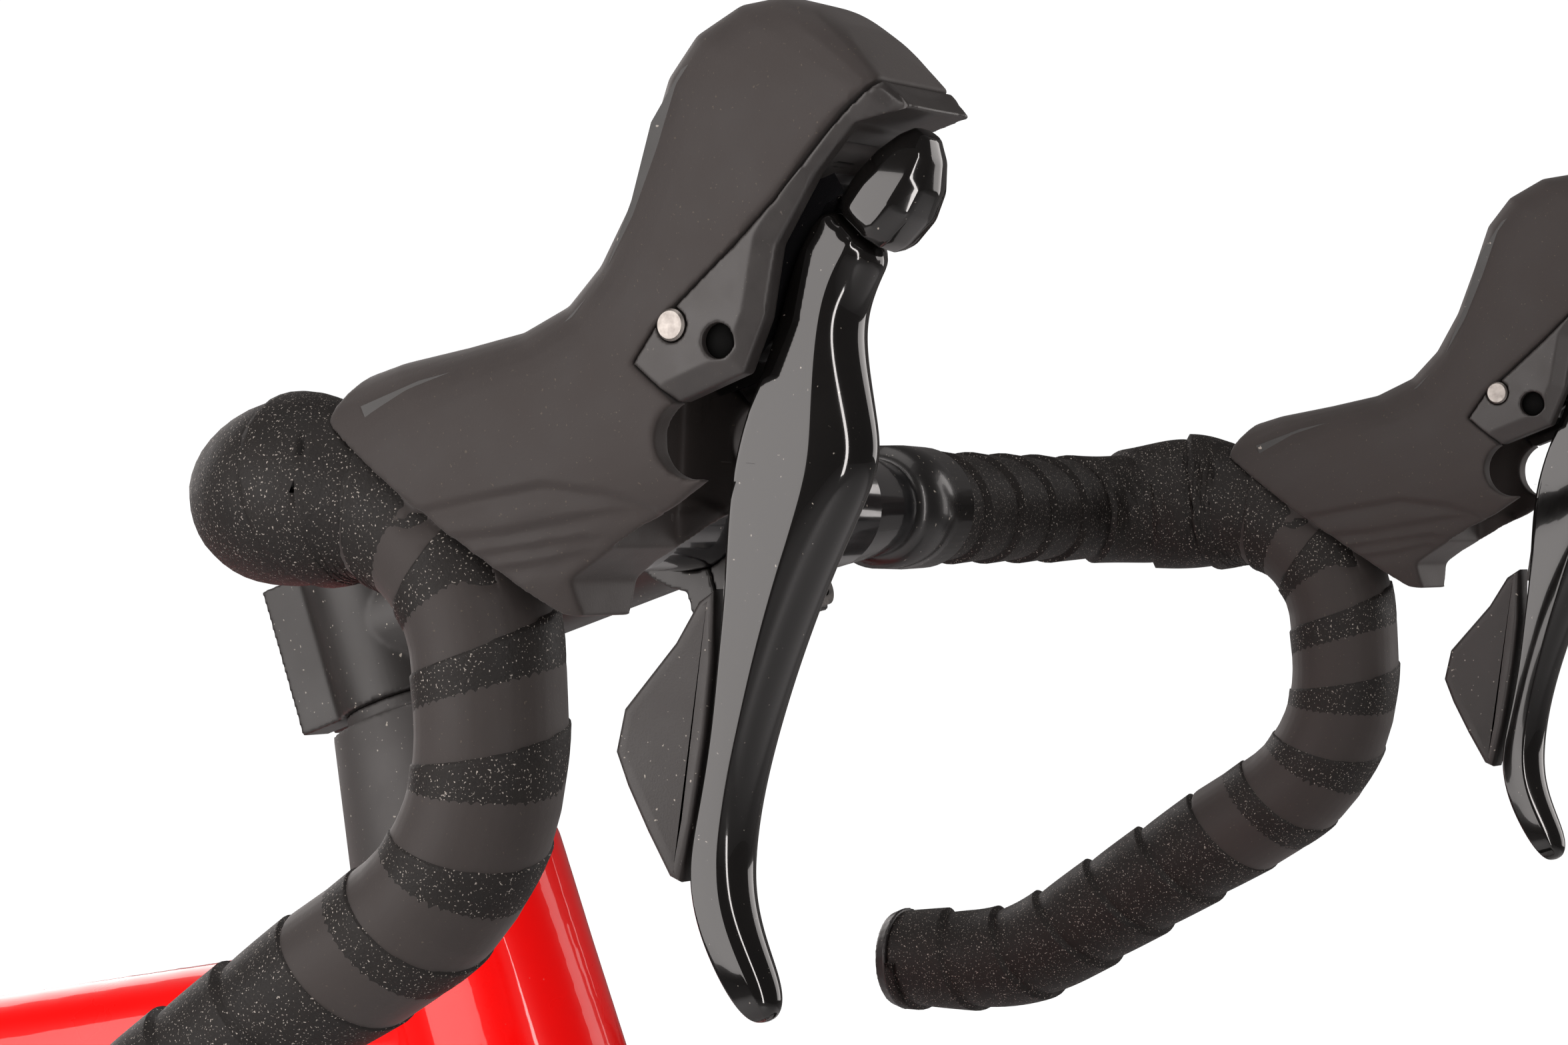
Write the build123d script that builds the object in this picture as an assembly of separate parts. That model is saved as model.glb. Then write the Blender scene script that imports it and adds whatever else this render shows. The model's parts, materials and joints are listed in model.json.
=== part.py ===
"""Road bicycle with hydraulic disc brakes and two-lever gear shifters, in millimetres.

+X points forward, +Y to the rider's left and +Z up. The origin is on the ground, midway
between the two axles, in the bicycle's centre plane.
"""
import math
import os

from build123d import *

os.makedirs("parts", exist_ok=True)

# ---- layout of the bicycle
WHEELBASE = 990.0
CHAINSTAY = 410.0
BB_DROP = 70.0
HEAD_ANGLE = 73.0
SEAT_ANGLE = 73.5
FORK_RAKE = 45.0
CROWN_HEIGHT = 370.6        # along the steering axis, from the foot beside the front axle
HEAD_TUBE_LENGTH = 160.0
SEAT_TUBE_LENGTH = 520.0
SADDLE_HEIGHT = 712.0       # from the bottom bracket along the seat tube to the rails

# ---- wheels
BEAD_RADIUS = 311.0
TYRE_SECTION = 13.0
TYRE_CROWN = 12.0           # how far the tyre section's centre stands above the bead
RIM_DEPTH = 34.0
RIM_HALF_WIDTH = 13.0
SPOKE_COUNT = 24
SPOKE_RADIUS = 1.0
FRONT_HUB_HALF = 50.0
REAR_HUB_HALF = 71.0
AXLE_RADIUS = 6.0
FRONT_ROTOR_RADIUS = 80.0
REAR_ROTOR_RADIUS = 70.0
ROTOR_THICKNESS = 1.8
ROTOR_INSET = 14.0          # from the hub's end face to the rotor's plane

# ---- clearances
RUNNING = 0.05              # radial, a shaft in its bearing or bore
FACE_GAP = 0.5              # between faces that pass each other
SEAT_GAP = 0.03             # radial, between fixed round pieces

# ---- steering column and cockpit
STEERER_RADIUS = 14.3
CROWN_RACE_RADIUS = 20.0
COVER_HEIGHT = 36.6
SPACER_HEIGHT = 4.0
STEM_CLAMP_HEIGHT = 40.0
STEM_LENGTH = 110.3
STEM_RISE = 13.9            # degrees above level
BAR_RADIUS = 15.9
BAR_GRIP_RADIUS = 12.0
BAR_WALL = 2.2
BAR_HALF_WIDTH = 210.0
BAR_REACH = 72.0
BAR_DROP = 132.0
BAR_CLAMP_FLAT = 46.0       # half length of the thick middle
BAR_KNURL_HALF = 21.4       # the textured middle that the stem grips
BAR_KNURL_RADIUS = 15.85
TAPE_START = 80.0
TAPE_THICKNESS = 3.5
LEVER_PIN_FORWARD = 127.1   # lever pivot from the centre of the bar's top
LEVER_PIN_UP = 25.3
LEVER_PIN_RADIUS = 3.0
HOOD_HALF_WIDTH = 17.0
HOOD_WALL = 2.6
LEVER_HALF_WIDTH = 7.0
LEVER_SLOT_GAP = 0.8

# ---- drivetrain
PITCH = 12.7
OUTER_RING_TEETH = 50
INNER_RING_TEETH = 34
COGS = [11, 12, 13, 14, 15, 17, 19, 21, 24, 28, 32]
CHAIN_COG = 5               # the cog that carries the chain
COG_PITCH = 3.75
PULLEY_TEETH = 12
CHAIN_PLANE = -47.0
INNER_RING_PLANE = -40.0
ROLLER_RADIUS = 3.85
CRANK_LENGTH = 172.5
SPINDLE_RADIUS = 14.5
CAGE_LENGTH = 60.0
LINK_LENGTH = 56.0
LINK_SPREAD = 18.3          # degrees the derailleur link leans outwards
LINK_DROP = (0.5, -0.866)   # the link's direction in side view
GUIDE_PULLEY = (10.0, -99.5)

# ---- seat
SEATPOST_RADIUS = 13.6
SEAT_TUBE_RADIUS = 16.5
FRAME_WALL = 1.6

# ---- places worked out from the layout
TYRE_CENTRE = BEAD_RADIUS + TYRE_CROWN
TYRE_RADIUS = TYRE_CENTRE + TYRE_SECTION
REAR_AXLE = (-WHEELBASE / 2, TYRE_RADIUS)
FRONT_AXLE = (WHEELBASE / 2, TYRE_RADIUS)
BB = (REAR_AXLE[0] + math.sqrt(CHAINSTAY**2 - BB_DROP**2), TYRE_RADIUS - BB_DROP)
HEAD = math.radians(HEAD_ANGLE)
STEER_UP = (-math.cos(HEAD), math.sin(HEAD))
STEER_FRONT = (math.sin(HEAD), math.cos(HEAD))
STEER_FOOT = (FRONT_AXLE[0] - FORK_RAKE * STEER_FRONT[0], FRONT_AXLE[1] - FORK_RAKE * STEER_FRONT[1])
SEAT = math.radians(SEAT_ANGLE)
SEAT_UP = (-math.cos(SEAT), math.sin(SEAT))


def write(shape, name):
    export_step(shape, f"parts/{name}.step")


def on_steerer(height, forward=0.0, across=0.0):
    """Point at a height along the steering axis, in front of it and across the bicycle."""
    return (
        STEER_FOOT[0] + height * STEER_UP[0] + forward * STEER_FRONT[0],
        across,
        STEER_FOOT[1] + height * STEER_UP[1] + forward * STEER_FRONT[1],
    )


def on_seat_line(distance, across=0.0):
    return (BB[0] + distance * SEAT_UP[0], across, BB[1] + distance * SEAT_UP[1])


def rod(start, end, radius, end_radius=None, bore=0.0):
    """Round bar or cone between two points, with an optional round bore."""
    start, end = Vector(*start), Vector(*end)
    plane = Plane(origin=start, z_dir=end - start)
    height = (end - start).length
    middle = plane * Pos(0, 0, height / 2)
    if end_radius is None or abs(end_radius - radius) < 1e-6:
        solid = middle * Cylinder(radius, height)
    else:
        solid = middle * Cone(radius, end_radius, height)
    if bore:
        solid -= middle * Cylinder(bore, height + 2)
    return solid


def axle(centre, y_from, y_to, radius, bore=0.0):
    """Round piece along Y through a side-view point."""
    return rod((centre[0], y_from, centre[1]), (centre[0], y_to, centre[1]), radius, bore=bore)


def plate(outline, y_from, y_to):
    """Side-view outline given a thickness across the bicycle."""
    wire = Wire.make_polygon([(x, y_from, z) for x, z in outline], close=True)
    return extrude(Face(wire), amount=y_to - y_from, dir=(0, 1, 0))


def strap(start, start_radius, end, end_radius, y_from, y_to):
    """Flat link with round ends, tangent between them."""
    dx, dz = end[0] - start[0], end[1] - start[1]
    length = math.hypot(dx, dz)
    heading = math.atan2(dz, dx)
    lean = math.acos((start_radius - end_radius) / length)
    corners = []
    for centre, radius, side in (
        (start, start_radius, 1), (end, end_radius, 1), (end, end_radius, -1), (start, start_radius, -1)
    ):
        angle = heading + side * lean
        corners.append((centre[0] + radius * math.cos(angle), centre[1] + radius * math.sin(angle)))
    body = plate(corners, y_from, y_to)
    return body + axle(start, y_from, y_to, start_radius) + axle(end, y_from, y_to, end_radius)


def side_plane(centre, y):
    """Plane seen from the drive side: its X is forward and its Y is up."""
    return Plane(origin=(centre[0], y, centre[1]), x_dir=(1, 0, 0), z_dir=(0, -1, 0))


def wheel_solid(profile, centre):
    """Turned piece about a wheel's axle, from a profile of (radius, across)."""
    return Pos(centre[0], 0, centre[1]) * revolve(profile, Axis.Y, 360)


def profile(points):
    return make_face(Polyline(*points, close=True))


def tube_along(path, radius, bore=0.0):
    """Round tube that follows a path of straight runs and arcs."""
    start = Plane(origin=path @ 0, z_dir=path % 0)
    solid = sweep(start * Circle(radius), path)
    if bore:
        solid -= sweep(start * Circle(bore), path)
    return solid


def largest(shape):
    return max(shape.solids(), key=lambda solid: solid.volume)


# ---------------------------------------------------------------- frame
HEAD_LOW = CROWN_HEIGHT + 0.8
HEAD_HIGH = HEAD_LOW + HEAD_TUBE_LENGTH
HEAD_RADIUS_LOW = 31.0
HEAD_RADIUS_HIGH = 27.5
HEAD_BORE = 20.6
BEARING_HEIGHT = 8.0
UPPER_BEARING_RADIUS = 22.5
LOWER_BEARING_RADIUS = 26.0
TOP_TUBE_RADIUS = 15.8
TOP_TUBE_HEIGHT = 40.0      # below the head tube's top
DOWN_TUBE_RADIUS = 22.0
DOWN_TUBE_HEIGHT = 46.0     # above the head tube's bottom
BB_SHELL_RADIUS = 25.0
BB_SHELL_HALF = 34.0
BB_BEARING_RADIUS = 21.0
BB_BEARING_WIDTH = 9.0
BOSS_RADIUS = 5.0
BOSS_THREAD_RADIUS = 2.5
BOSS_SPACING = 64.0
BOSS_DEPTH = 9.0

head_outer = rod(on_steerer(HEAD_LOW), on_steerer(HEAD_HIGH), HEAD_RADIUS_LOW, HEAD_RADIUS_HIGH)
head_tube = head_outer - rod(on_steerer(HEAD_LOW - 1), on_steerer(HEAD_HIGH + 1), HEAD_BORE)
head_tube -= rod(on_steerer(HEAD_LOW - 1), on_steerer(HEAD_LOW + BEARING_HEIGHT), LOWER_BEARING_RADIUS)
head_tube -= rod(on_steerer(HEAD_HIGH - BEARING_HEIGHT), on_steerer(HEAD_HIGH + 1), UPPER_BEARING_RADIUS)
write(head_tube, "head_tube")

lower_bearing = rod(
    on_steerer(HEAD_LOW), on_steerer(HEAD_LOW + BEARING_HEIGHT),
    LOWER_BEARING_RADIUS - SEAT_GAP, bore=CROWN_RACE_RADIUS + RUNNING,
)
upper_bearing = rod(
    on_steerer(HEAD_HIGH - BEARING_HEIGHT), on_steerer(HEAD_HIGH),
    UPPER_BEARING_RADIUS - SEAT_GAP, bore=STEERER_RADIUS + RUNNING,
)

seat_top = on_seat_line(SEAT_TUBE_LENGTH)
seat_outer = rod(on_seat_line(0), seat_top, SEAT_TUBE_RADIUS)
top_front = on_steerer(HEAD_HIGH - TOP_TUBE_HEIGHT)
top_rear = on_seat_line(SEAT_TUBE_LENGTH - 32.0)
down_top = on_steerer(HEAD_LOW + DOWN_TUBE_HEIGHT)
bb_outer = axle(BB, -BB_SHELL_HALF, BB_SHELL_HALF, BB_SHELL_RADIUS)


def boss_points(start, end, first):
    """Seats of the two bottle bosses, on a tube's centre line."""
    along = (Vector(*end) - Vector(*start)).normalized()
    return [Vector(*start) + along * (first + BOSS_SPACING * step) for step in (0, 1)]


def bossed(tube, start, end, first, radius, outward):
    """Adds bottle bosses with blind threaded holes to a tube."""
    for seat in boss_points(start, end, first):
        mouth = seat + outward * (radius + 1.0)
        foot = mouth - outward * BOSS_DEPTH
        tube += rod(tuple(foot), tuple(mouth), BOSS_RADIUS)
        tube -= rod(tuple(foot), tuple(mouth + outward), BOSS_THREAD_RADIUS)
    return tube


down_along = (Vector(*down_top) - Vector(BB[0], 0, BB[1])).normalized()
down_out = Vector(-down_along.Z, 0, down_along.X)
seat_out = Vector(SEAT_UP[1], 0, -SEAT_UP[0])
DOWN_BOSS_START = 150.0
SEAT_BOSS_START = 150.0

down_tube = rod((BB[0], 0, BB[1]), down_top, DOWN_TUBE_RADIUS)
down_tube -= rod((BB[0], 0, BB[1]), down_top, DOWN_TUBE_RADIUS - FRAME_WALL)
down_tube = bossed(down_tube, (BB[0], 0, BB[1]), down_top, DOWN_BOSS_START, DOWN_TUBE_RADIUS, down_out)
down_tube = down_tube - head_outer - bb_outer
top_tube = rod(top_rear, top_front, TOP_TUBE_RADIUS, bore=TOP_TUBE_RADIUS - FRAME_WALL)
top_tube = top_tube - head_outer - seat_outer

seat_tube = seat_outer - rod(on_seat_line(60), on_seat_line(SEAT_TUBE_LENGTH + 1), SEATPOST_RADIUS + SEAT_GAP)
seat_tube = bossed(
    seat_tube, on_seat_line(0), seat_top, SEAT_BOSS_START, SEAT_TUBE_RADIUS, seat_out
)
seat_tube -= rod(on_seat_line(60), on_seat_line(SEAT_TUBE_LENGTH + 1), SEATPOST_RADIUS + SEAT_GAP)
down_outer = rod((BB[0], 0, BB[1]), down_top, DOWN_TUBE_RADIUS)
seat_tube = seat_tube - bb_outer - down_outer
write(largest(seat_tube), "seat_tube")
write(largest(top_tube), "top_tube")
write(largest(down_tube), "down_tube")

bb_shell = bb_outer - axle(BB, -BB_SHELL_HALF - 1, BB_SHELL_HALF + 1, BB_BEARING_RADIUS)
write(bb_shell, "bottom_bracket_shell")
bearings = [lower_bearing, upper_bearing]
for side in (-1, 1):
    bearings.append(
        axle(BB, side * (BB_SHELL_HALF - BB_BEARING_WIDTH), side * BB_SHELL_HALF,
             BB_BEARING_RADIUS - SEAT_GAP, bore=SPINDLE_RADIUS + RUNNING)
    )
write(Compound(children=bearings), "frame_bearings")

# ---- rear triangle: each stay is a chain of tapered tubes from the middle out to the dropout
DROPOUT_THICKNESS = 7.0
DROPOUT_RADIUS = 15.0
HANGER_DROP = 30.0
stay_end_y = REAR_HUB_HALF + DROPOUT_THICKNESS / 2 + 0.5
HANGER = (REAR_AXLE[0] + 6.0, REAR_AXLE[1] - HANGER_DROP)


def between(start, end, share):
    return start + (end - start) * share


def stay(points, radii):
    """Smooth tapered stay through round sections square to its own run."""
    sections = []
    for index, (point, radius) in enumerate(zip(points, radii)):
        before = Vector(*points[max(index - 1, 0)])
        after = Vector(*points[min(index + 1, len(points) - 1)])
        plane = Plane(origin=point, x_dir=(0, 1, 0), z_dir=after - before)
        sections.append(plane * Circle(radius))
    return loft(sections)


def chainstay(side):
    rear_x, rear_z = REAR_AXLE
    points = [
        (BB[0] - 8, side * 25, BB[1] + 2),
        (between(BB[0], rear_x, 0.25), side * 29, between(BB[1], rear_z, 0.25)),
        (between(BB[0], rear_x, 0.60), side * 52, between(BB[1], rear_z, 0.60)),
        (rear_x + 12, side * stay_end_y, rear_z - 2),
    ]
    return stay(points, [8.6, 7.6, 7.0, 5.6])


def seatstay(side):
    rear_x, rear_z = REAR_AXLE
    foot = (rear_x + 3, side * stay_end_y, rear_z + 12)
    crown = on_seat_line(SEAT_TUBE_LENGTH - 78.0, side * 13)
    shoulder = (between(crown[0], foot[0], 0.22), side * 26, between(crown[2], foot[2], 0.22))
    return stay([crown, shoulder, foot], [8.0, 7.0, 5.4])


dropouts = []
for side in (-1, 1):
    inner, outer = side * REAR_HUB_HALF, side * (REAR_HUB_HALF + DROPOUT_THICKNESS)
    lug = axle(REAR_AXLE, inner, outer, DROPOUT_RADIUS)
    if side < 0:
        lug += strap(REAR_AXLE, DROPOUT_RADIUS, HANGER, 11.0, outer, inner)
    dropouts.append(lug)

chainstays = []
seatstays = []
for side, lug in zip((-1, 1), dropouts):
    trim_y = side * (REAR_HUB_HALF - 30)
    inboard = Pos(REAR_AXLE[0], trim_y, REAR_AXLE[1]) * Box(60, 60, 120)
    lower = chainstay(side) + lug - inboard
    lower -= axle(REAR_AXLE, side * 60, side * 90, AXLE_RADIUS + SEAT_GAP)
    lower = lower - bb_outer - seat_outer - down_outer
    upper = seatstay(side) - inboard - seat_outer - lower
    chainstays.append(largest(lower))
    seatstays.append(largest(upper))
hanger_hole = axle(HANGER, -REAR_HUB_HALF - DROPOUT_THICKNESS - 1, -REAR_HUB_HALF + 1, 5.0)
chainstays[0] -= hanger_hole
write(Compound(children=chainstays), "chainstays")
write(Compound(children=seatstays), "seatstays")

collar_top = on_seat_line(SEAT_TUBE_LENGTH + 1.5)
collar_low = on_seat_line(SEAT_TUBE_LENGTH - 12.0)
seat_clamp = rod(collar_low, collar_top, SEAT_TUBE_RADIUS + 3.0)
seat_clamp -= rod(collar_low, on_seat_line(SEAT_TUBE_LENGTH), SEAT_TUBE_RADIUS + SEAT_GAP)
seat_clamp -= rod(collar_low, on_seat_line(SEAT_TUBE_LENGTH + 5), SEATPOST_RADIUS + 0.4)
write(seat_clamp, "seat_clamp")


# ---------------------------------------------------------------- seatpost and saddle
rail_level = on_seat_line(SADDLE_HEIGHT)
post_low = on_seat_line(SEAT_TUBE_LENGTH - 140)
post_high = on_seat_line(SADDLE_HEIGHT - 14)
seatpost = rod(post_low, post_high, SEATPOST_RADIUS) - rod(post_low, on_seat_line(SADDLE_HEIGHT - 30), 11.4)
seatpost += Pos(rail_level[0], 0, rail_level[2] - 12) * Box(46, 40, 12)
RAIL_RADIUS = 3.5
RAIL_SPREAD = 22.0
clamp_ears = []
for side in (-1, 1):
    ear = Pos(rail_level[0], side * RAIL_SPREAD, rail_level[2]) * Box(34, 9, 13)
    ear -= Pos(rail_level[0], side * RAIL_SPREAD, rail_level[2]) * Rot(0, 90, 0) * Cylinder(
        RAIL_RADIUS + SEAT_GAP, 60)
    seatpost += ear
write(seatpost, "seatpost")

SADDLE_LENGTH = 262.0
SADDLE_HALF_WIDTH = 71.0
SADDLE_NOSE_HALF = 17.0
SADDLE_THICKNESS = 26.0
saddle_z = rail_level[2] + 14.0
saddle_rear = rail_level[0] - 118.0
outline = [
    (saddle_rear, 0), (saddle_rear + 4, 40), (saddle_rear + 22, SADDLE_HALF_WIDTH - 6),
    (saddle_rear + 55, SADDLE_HALF_WIDTH - 5), (saddle_rear + 100, 44), (saddle_rear + 150, 24),
    (saddle_rear + 205, SADDLE_NOSE_HALF + 2), (saddle_rear + SADDLE_LENGTH - 8, SADDLE_NOSE_HALF - 3),
    (saddle_rear + SADDLE_LENGTH, 0),
]
mirrored = [(x, -y) for x, y in reversed(outline[1:-1])]
seat_face = Plane(origin=(0, 0, saddle_z)) * make_face(
    Polyline(*reversed(outline + mirrored), close=True))
saddle = extrude(seat_face, amount=SADDLE_THICKNESS)
saddle_parts = [saddle.solid()]
for side in (-1, 1):
    path = FilletPolyline(
        (rail_level[0] - 96, side * 30, saddle_z + 2),
        (rail_level[0] - 60, side * RAIL_SPREAD, rail_level[2]),
        (rail_level[0] + 60, side * RAIL_SPREAD, rail_level[2]),
        (rail_level[0] + 122, side * 8, saddle_z + 2),
        radius=12,
    )
    saddle_parts.append(largest(tube_along(path, RAIL_RADIUS) - saddle))
write(Compound(children=saddle_parts), "saddle")

# ---------------------------------------------------------------- fork and headset
CROWN_THICKNESS = 25.0
CROWN_HALF_WIDTH = 36.0
CROWN_HALF_DEPTH = 20.0
FORK_DROPOUT_THICKNESS = 13.0
CLAMP_LOW = HEAD_HIGH + FACE_GAP + COVER_HEIGHT + SPACER_HEIGHT
CLAMP_HIGH = CLAMP_LOW + STEM_CLAMP_HEIGHT


def steering_plane(height, forward=0.0, across=0.0):
    """Plane square to the steering axis, its X pointing forward and its Y to the left."""
    return Plane(
        origin=on_steerer(height, forward, across),
        x_dir=(STEER_FRONT[0], 0, STEER_FRONT[1]),
        z_dir=(STEER_UP[0], 0, STEER_UP[1]),
    )


steerer = rod(on_steerer(CROWN_HEIGHT), on_steerer(CROWN_HEIGHT + 12), CROWN_RACE_RADIUS)
steerer += rod(on_steerer(CROWN_HEIGHT), on_steerer(CLAMP_HIGH - 2), STEERER_RADIUS)
steerer -= rod(on_steerer(CROWN_HEIGHT - 1), on_steerer(CLAMP_HIGH), STEERER_RADIUS - 2.6)
write(steerer, "fork_steerer")

crown_mid = CROWN_HEIGHT - CROWN_THICKNESS / 2
crown = steering_plane(crown_mid) * Box(2 * CROWN_HALF_DEPTH, 2 * CROWN_HALF_WIDTH, CROWN_THICKNESS)
crown = fillet(crown.edges().filter_by(Axis((0, 0, 0), (STEER_UP[0], 0, STEER_UP[1]))), 12)
crown += rod(on_steerer(CROWN_HEIGHT - 14), on_steerer(CROWN_HEIGHT), HEAD_RADIUS_LOW)
fork = crown
for side in (-1, 1):
    low_y = FRONT_HUB_HALF + 7.0
    sections = [
        steering_plane(CROWN_HEIGHT - 6, 0, side * 27) * Ellipse(18, 8.5),
        steering_plane(200, 7, side * 36) * Ellipse(14.5, 7.5),
        steering_plane(90, 25, side * 49) * Ellipse(12, 7),
        steering_plane(10, FORK_RAKE - 1, side * low_y) * Ellipse(9.5, 6.5),
    ]
    fork += loft(sections)
    lug = axle(FRONT_AXLE, side * FRONT_HUB_HALF, side * (FRONT_HUB_HALF + FORK_DROPOUT_THICKNESS), 13)
    fork += lug
    fork -= axle(FRONT_AXLE, side * 30, side * FRONT_HUB_HALF, 20)
fork -= axle(FRONT_AXLE, -80, 80, AXLE_RADIUS + SEAT_GAP)
fork -= rod(on_steerer(CROWN_HEIGHT - 9), on_steerer(CROWN_HEIGHT + 1), STEERER_RADIUS - 2.6)
fork_blades = largest(fork)
write(fork_blades, "fork_blades")

front_axle_length = FRONT_HUB_HALF + FORK_DROPOUT_THICKNESS
front_axle = axle(FRONT_AXLE, -front_axle_length - 3, front_axle_length, AXLE_RADIUS)
front_axle += axle(FRONT_AXLE, -front_axle_length - 3, -front_axle_length - 0.02, 9)
front_axle -= axle(FRONT_AXLE, -front_axle_length - 4, -front_axle_length + 8, 3)
write(front_axle, "front_thru_axle")
rear_axle_length = REAR_HUB_HALF + DROPOUT_THICKNESS
rear_axle = axle(REAR_AXLE, -rear_axle_length, rear_axle_length + 3, AXLE_RADIUS)
rear_axle += axle(REAR_AXLE, rear_axle_length + 0.02, rear_axle_length + 3, 9)
rear_axle -= axle(REAR_AXLE, rear_axle_length - 8, rear_axle_length + 4, 3)
write(rear_axle, "rear_thru_axle")

COVER_FOOT_RADIUS = 27.5
COVER_TOP_RADIUS = 22.0
SPACER_RADIUS = 17.5
cover_foot = on_steerer(HEAD_HIGH + FACE_GAP)
cover_top = on_steerer(HEAD_HIGH + FACE_GAP + COVER_HEIGHT)
cover = rod(cover_foot, cover_top, COVER_FOOT_RADIUS, COVER_TOP_RADIUS)
cover -= rod(on_steerer(HEAD_HIGH), on_steerer(CLAMP_LOW), STEERER_RADIUS + SEAT_GAP)
spacer = rod(
    on_steerer(CLAMP_LOW - SPACER_HEIGHT), on_steerer(CLAMP_LOW), SPACER_RADIUS, bore=STEERER_RADIUS + SEAT_GAP
)
write(Compound(children=[cover.solid(), spacer.solid()]), "headset_spacers")

# ---------------------------------------------------------------- stem and handlebar
RISE = math.radians(STEM_RISE)
stem_root = on_steerer((CLAMP_LOW + CLAMP_HIGH) / 2)
BAR = (stem_root[0] + STEM_LENGTH * math.cos(RISE), stem_root[2] + STEM_LENGTH * math.sin(RISE))
STEM_FORWARD = (math.cos(RISE), math.sin(RISE))
STEM_UP = (-math.sin(RISE), math.cos(RISE))
STEM_CLAMP_RADIUS = 19.0
BAR_CLAMP_RADIUS = 21.0
BAR_CLAMP_HALF = 21.0
STEM_BOLT_RADIUS = 2.5
EAR_REACH = 28.0
EAR_HALF_WIDTH = 12.0
EAR_SLOT = 2.0
NECK_ROOT = (18.0, 17.5)       # half sizes across and up where the neck leaves the steerer clamp
NECK_FRONT = (16.5, 14.5)
LUG_DEPTH = 14.0
LUG_HEIGHT = 58.0
STEM_FACE = 0.6                # the stem's and the faceplate's cut faces, ahead of the bar's centre
FACEPLATE_FACE = 1.2
CUTTER = 80.0
BOLT_ACROSS = 14.0
BOLT_UP = 24.6
BOLT_HEAD_RADIUS = 4.2
BOLT_HEAD_HEIGHT = 4.0
BOLT_SOCKET_RADIUS = 2.0
BOLT_SOCKET_DEPTH = 2.5
BOLT_TAIL = -6.5
BOLT_SEAT = 7.0
CLAMP_BOLT_INSET = 9.0         # the steerer clamp's bolts, from its ends
CLAMP_BOLT_BACK = EAR_REACH - 6.5


def from_bar(forward, up):
    """Side-view point measured from the bar's centre, along and square to the stem."""
    return (
        BAR[0] + forward * STEM_FORWARD[0] + up * STEM_UP[0],
        BAR[1] + forward * STEM_FORWARD[1] + up * STEM_UP[1],
    )


stem = rod(on_steerer(CLAMP_LOW), on_steerer(CLAMP_HIGH), STEM_CLAMP_RADIUS)
clamp_middle = (CLAMP_LOW + CLAMP_HIGH) / 2
stem += steering_plane(clamp_middle, -EAR_REACH / 2) * Box(EAR_REACH, 2 * EAR_HALF_WIDTH, STEM_CLAMP_HEIGHT)
stem_axis = Vector(STEM_FORWARD[0], 0, STEM_FORWARD[1])
neck_root = Vector(*stem_root) + stem_axis * 4
neck = [
    Plane(origin=neck_root, x_dir=(0, 1, 0), z_dir=stem_axis) * Ellipse(*NECK_ROOT),
    Plane(origin=(BAR[0], 0, BAR[1]), x_dir=(0, 1, 0), z_dir=stem_axis) * Ellipse(*NECK_FRONT),
]
stem += loft(neck)
clamp = axle(BAR, -BAR_CLAMP_HALF, BAR_CLAMP_HALF, BAR_CLAMP_RADIUS)
bar_plane = Plane(origin=(BAR[0], 0, BAR[1]), x_dir=stem_axis, z_dir=(0, -1, 0))
clamp_all = clamp + bar_plane * Box(LUG_DEPTH, LUG_HEIGHT, 2 * BAR_CLAMP_HALF)
stem += clamp_all
stem -= bar_plane * Pos(CUTTER / 2 + STEM_FACE, 0, 0) * Box(CUTTER, CUTTER, CUTTER)
stem -= rod(on_steerer(CLAMP_LOW - 1), on_steerer(CLAMP_HIGH + 1), STEERER_RADIUS + SEAT_GAP)
stem -= steering_plane(clamp_middle, -EAR_REACH) * Box(2 * EAR_REACH, EAR_SLOT, CUTTER)
stem -= axle(BAR, -BAR_CLAMP_HALF - 1, BAR_CLAMP_HALF + 1, BAR_RADIUS + SEAT_GAP)
faceplate = clamp_all - bar_plane * Pos(FACEPLATE_FACE - CUTTER / 2, 0, 0) * Box(CUTTER, CUTTER, CUTTER)
faceplate -= axle(BAR, -BAR_CLAMP_HALF - 1, BAR_CLAMP_HALF + 1, BAR_RADIUS + SEAT_GAP)

bolts = []
for across in (-BOLT_ACROSS, BOLT_ACROSS):
    for up in (-BOLT_UP, BOLT_UP):
        tail = from_bar(BOLT_TAIL, up)
        head = from_bar(BOLT_SEAT, up)
        end = from_bar(BOLT_SEAT + BOLT_HEAD_HEIGHT, up)
        shank = rod((tail[0], across, tail[1]), (head[0], across, head[1]), STEM_BOLT_RADIUS)
        bolt_head = rod((head[0], across, head[1]), (end[0], across, end[1]), BOLT_HEAD_RADIUS)
        hole = rod((tail[0], across, tail[1]), (end[0], across, end[1]), STEM_BOLT_RADIUS + SEAT_GAP)
        deep = from_bar(BOLT_SEAT + BOLT_HEAD_HEIGHT - BOLT_SOCKET_DEPTH, up)
        bolt_head -= rod((deep[0], across, deep[1]), (end[0], across, end[1]), BOLT_SOCKET_RADIUS)
        stem -= hole
        faceplate -= hole
        bolts.append((shank + bolt_head).solid())
for height in (CLAMP_LOW + CLAMP_BOLT_INSET, CLAMP_HIGH - CLAMP_BOLT_INSET):
    tail = on_steerer(height, -CLAMP_BOLT_BACK, 2 - EAR_HALF_WIDTH)
    head = on_steerer(height, -CLAMP_BOLT_BACK, EAR_HALF_WIDTH)
    end = on_steerer(height, -CLAMP_BOLT_BACK, EAR_HALF_WIDTH + BOLT_HEAD_HEIGHT)
    stem -= rod(tail, end, STEM_BOLT_RADIUS + SEAT_GAP)
    bolts.append((rod(tail, head, STEM_BOLT_RADIUS) + rod(head, end, BOLT_HEAD_RADIUS)).solid())
write(largest(stem), "stem")
write(largest(faceplate), "stem_faceplate")
write(Compound(children=bolts), "stem_bolts")

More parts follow.
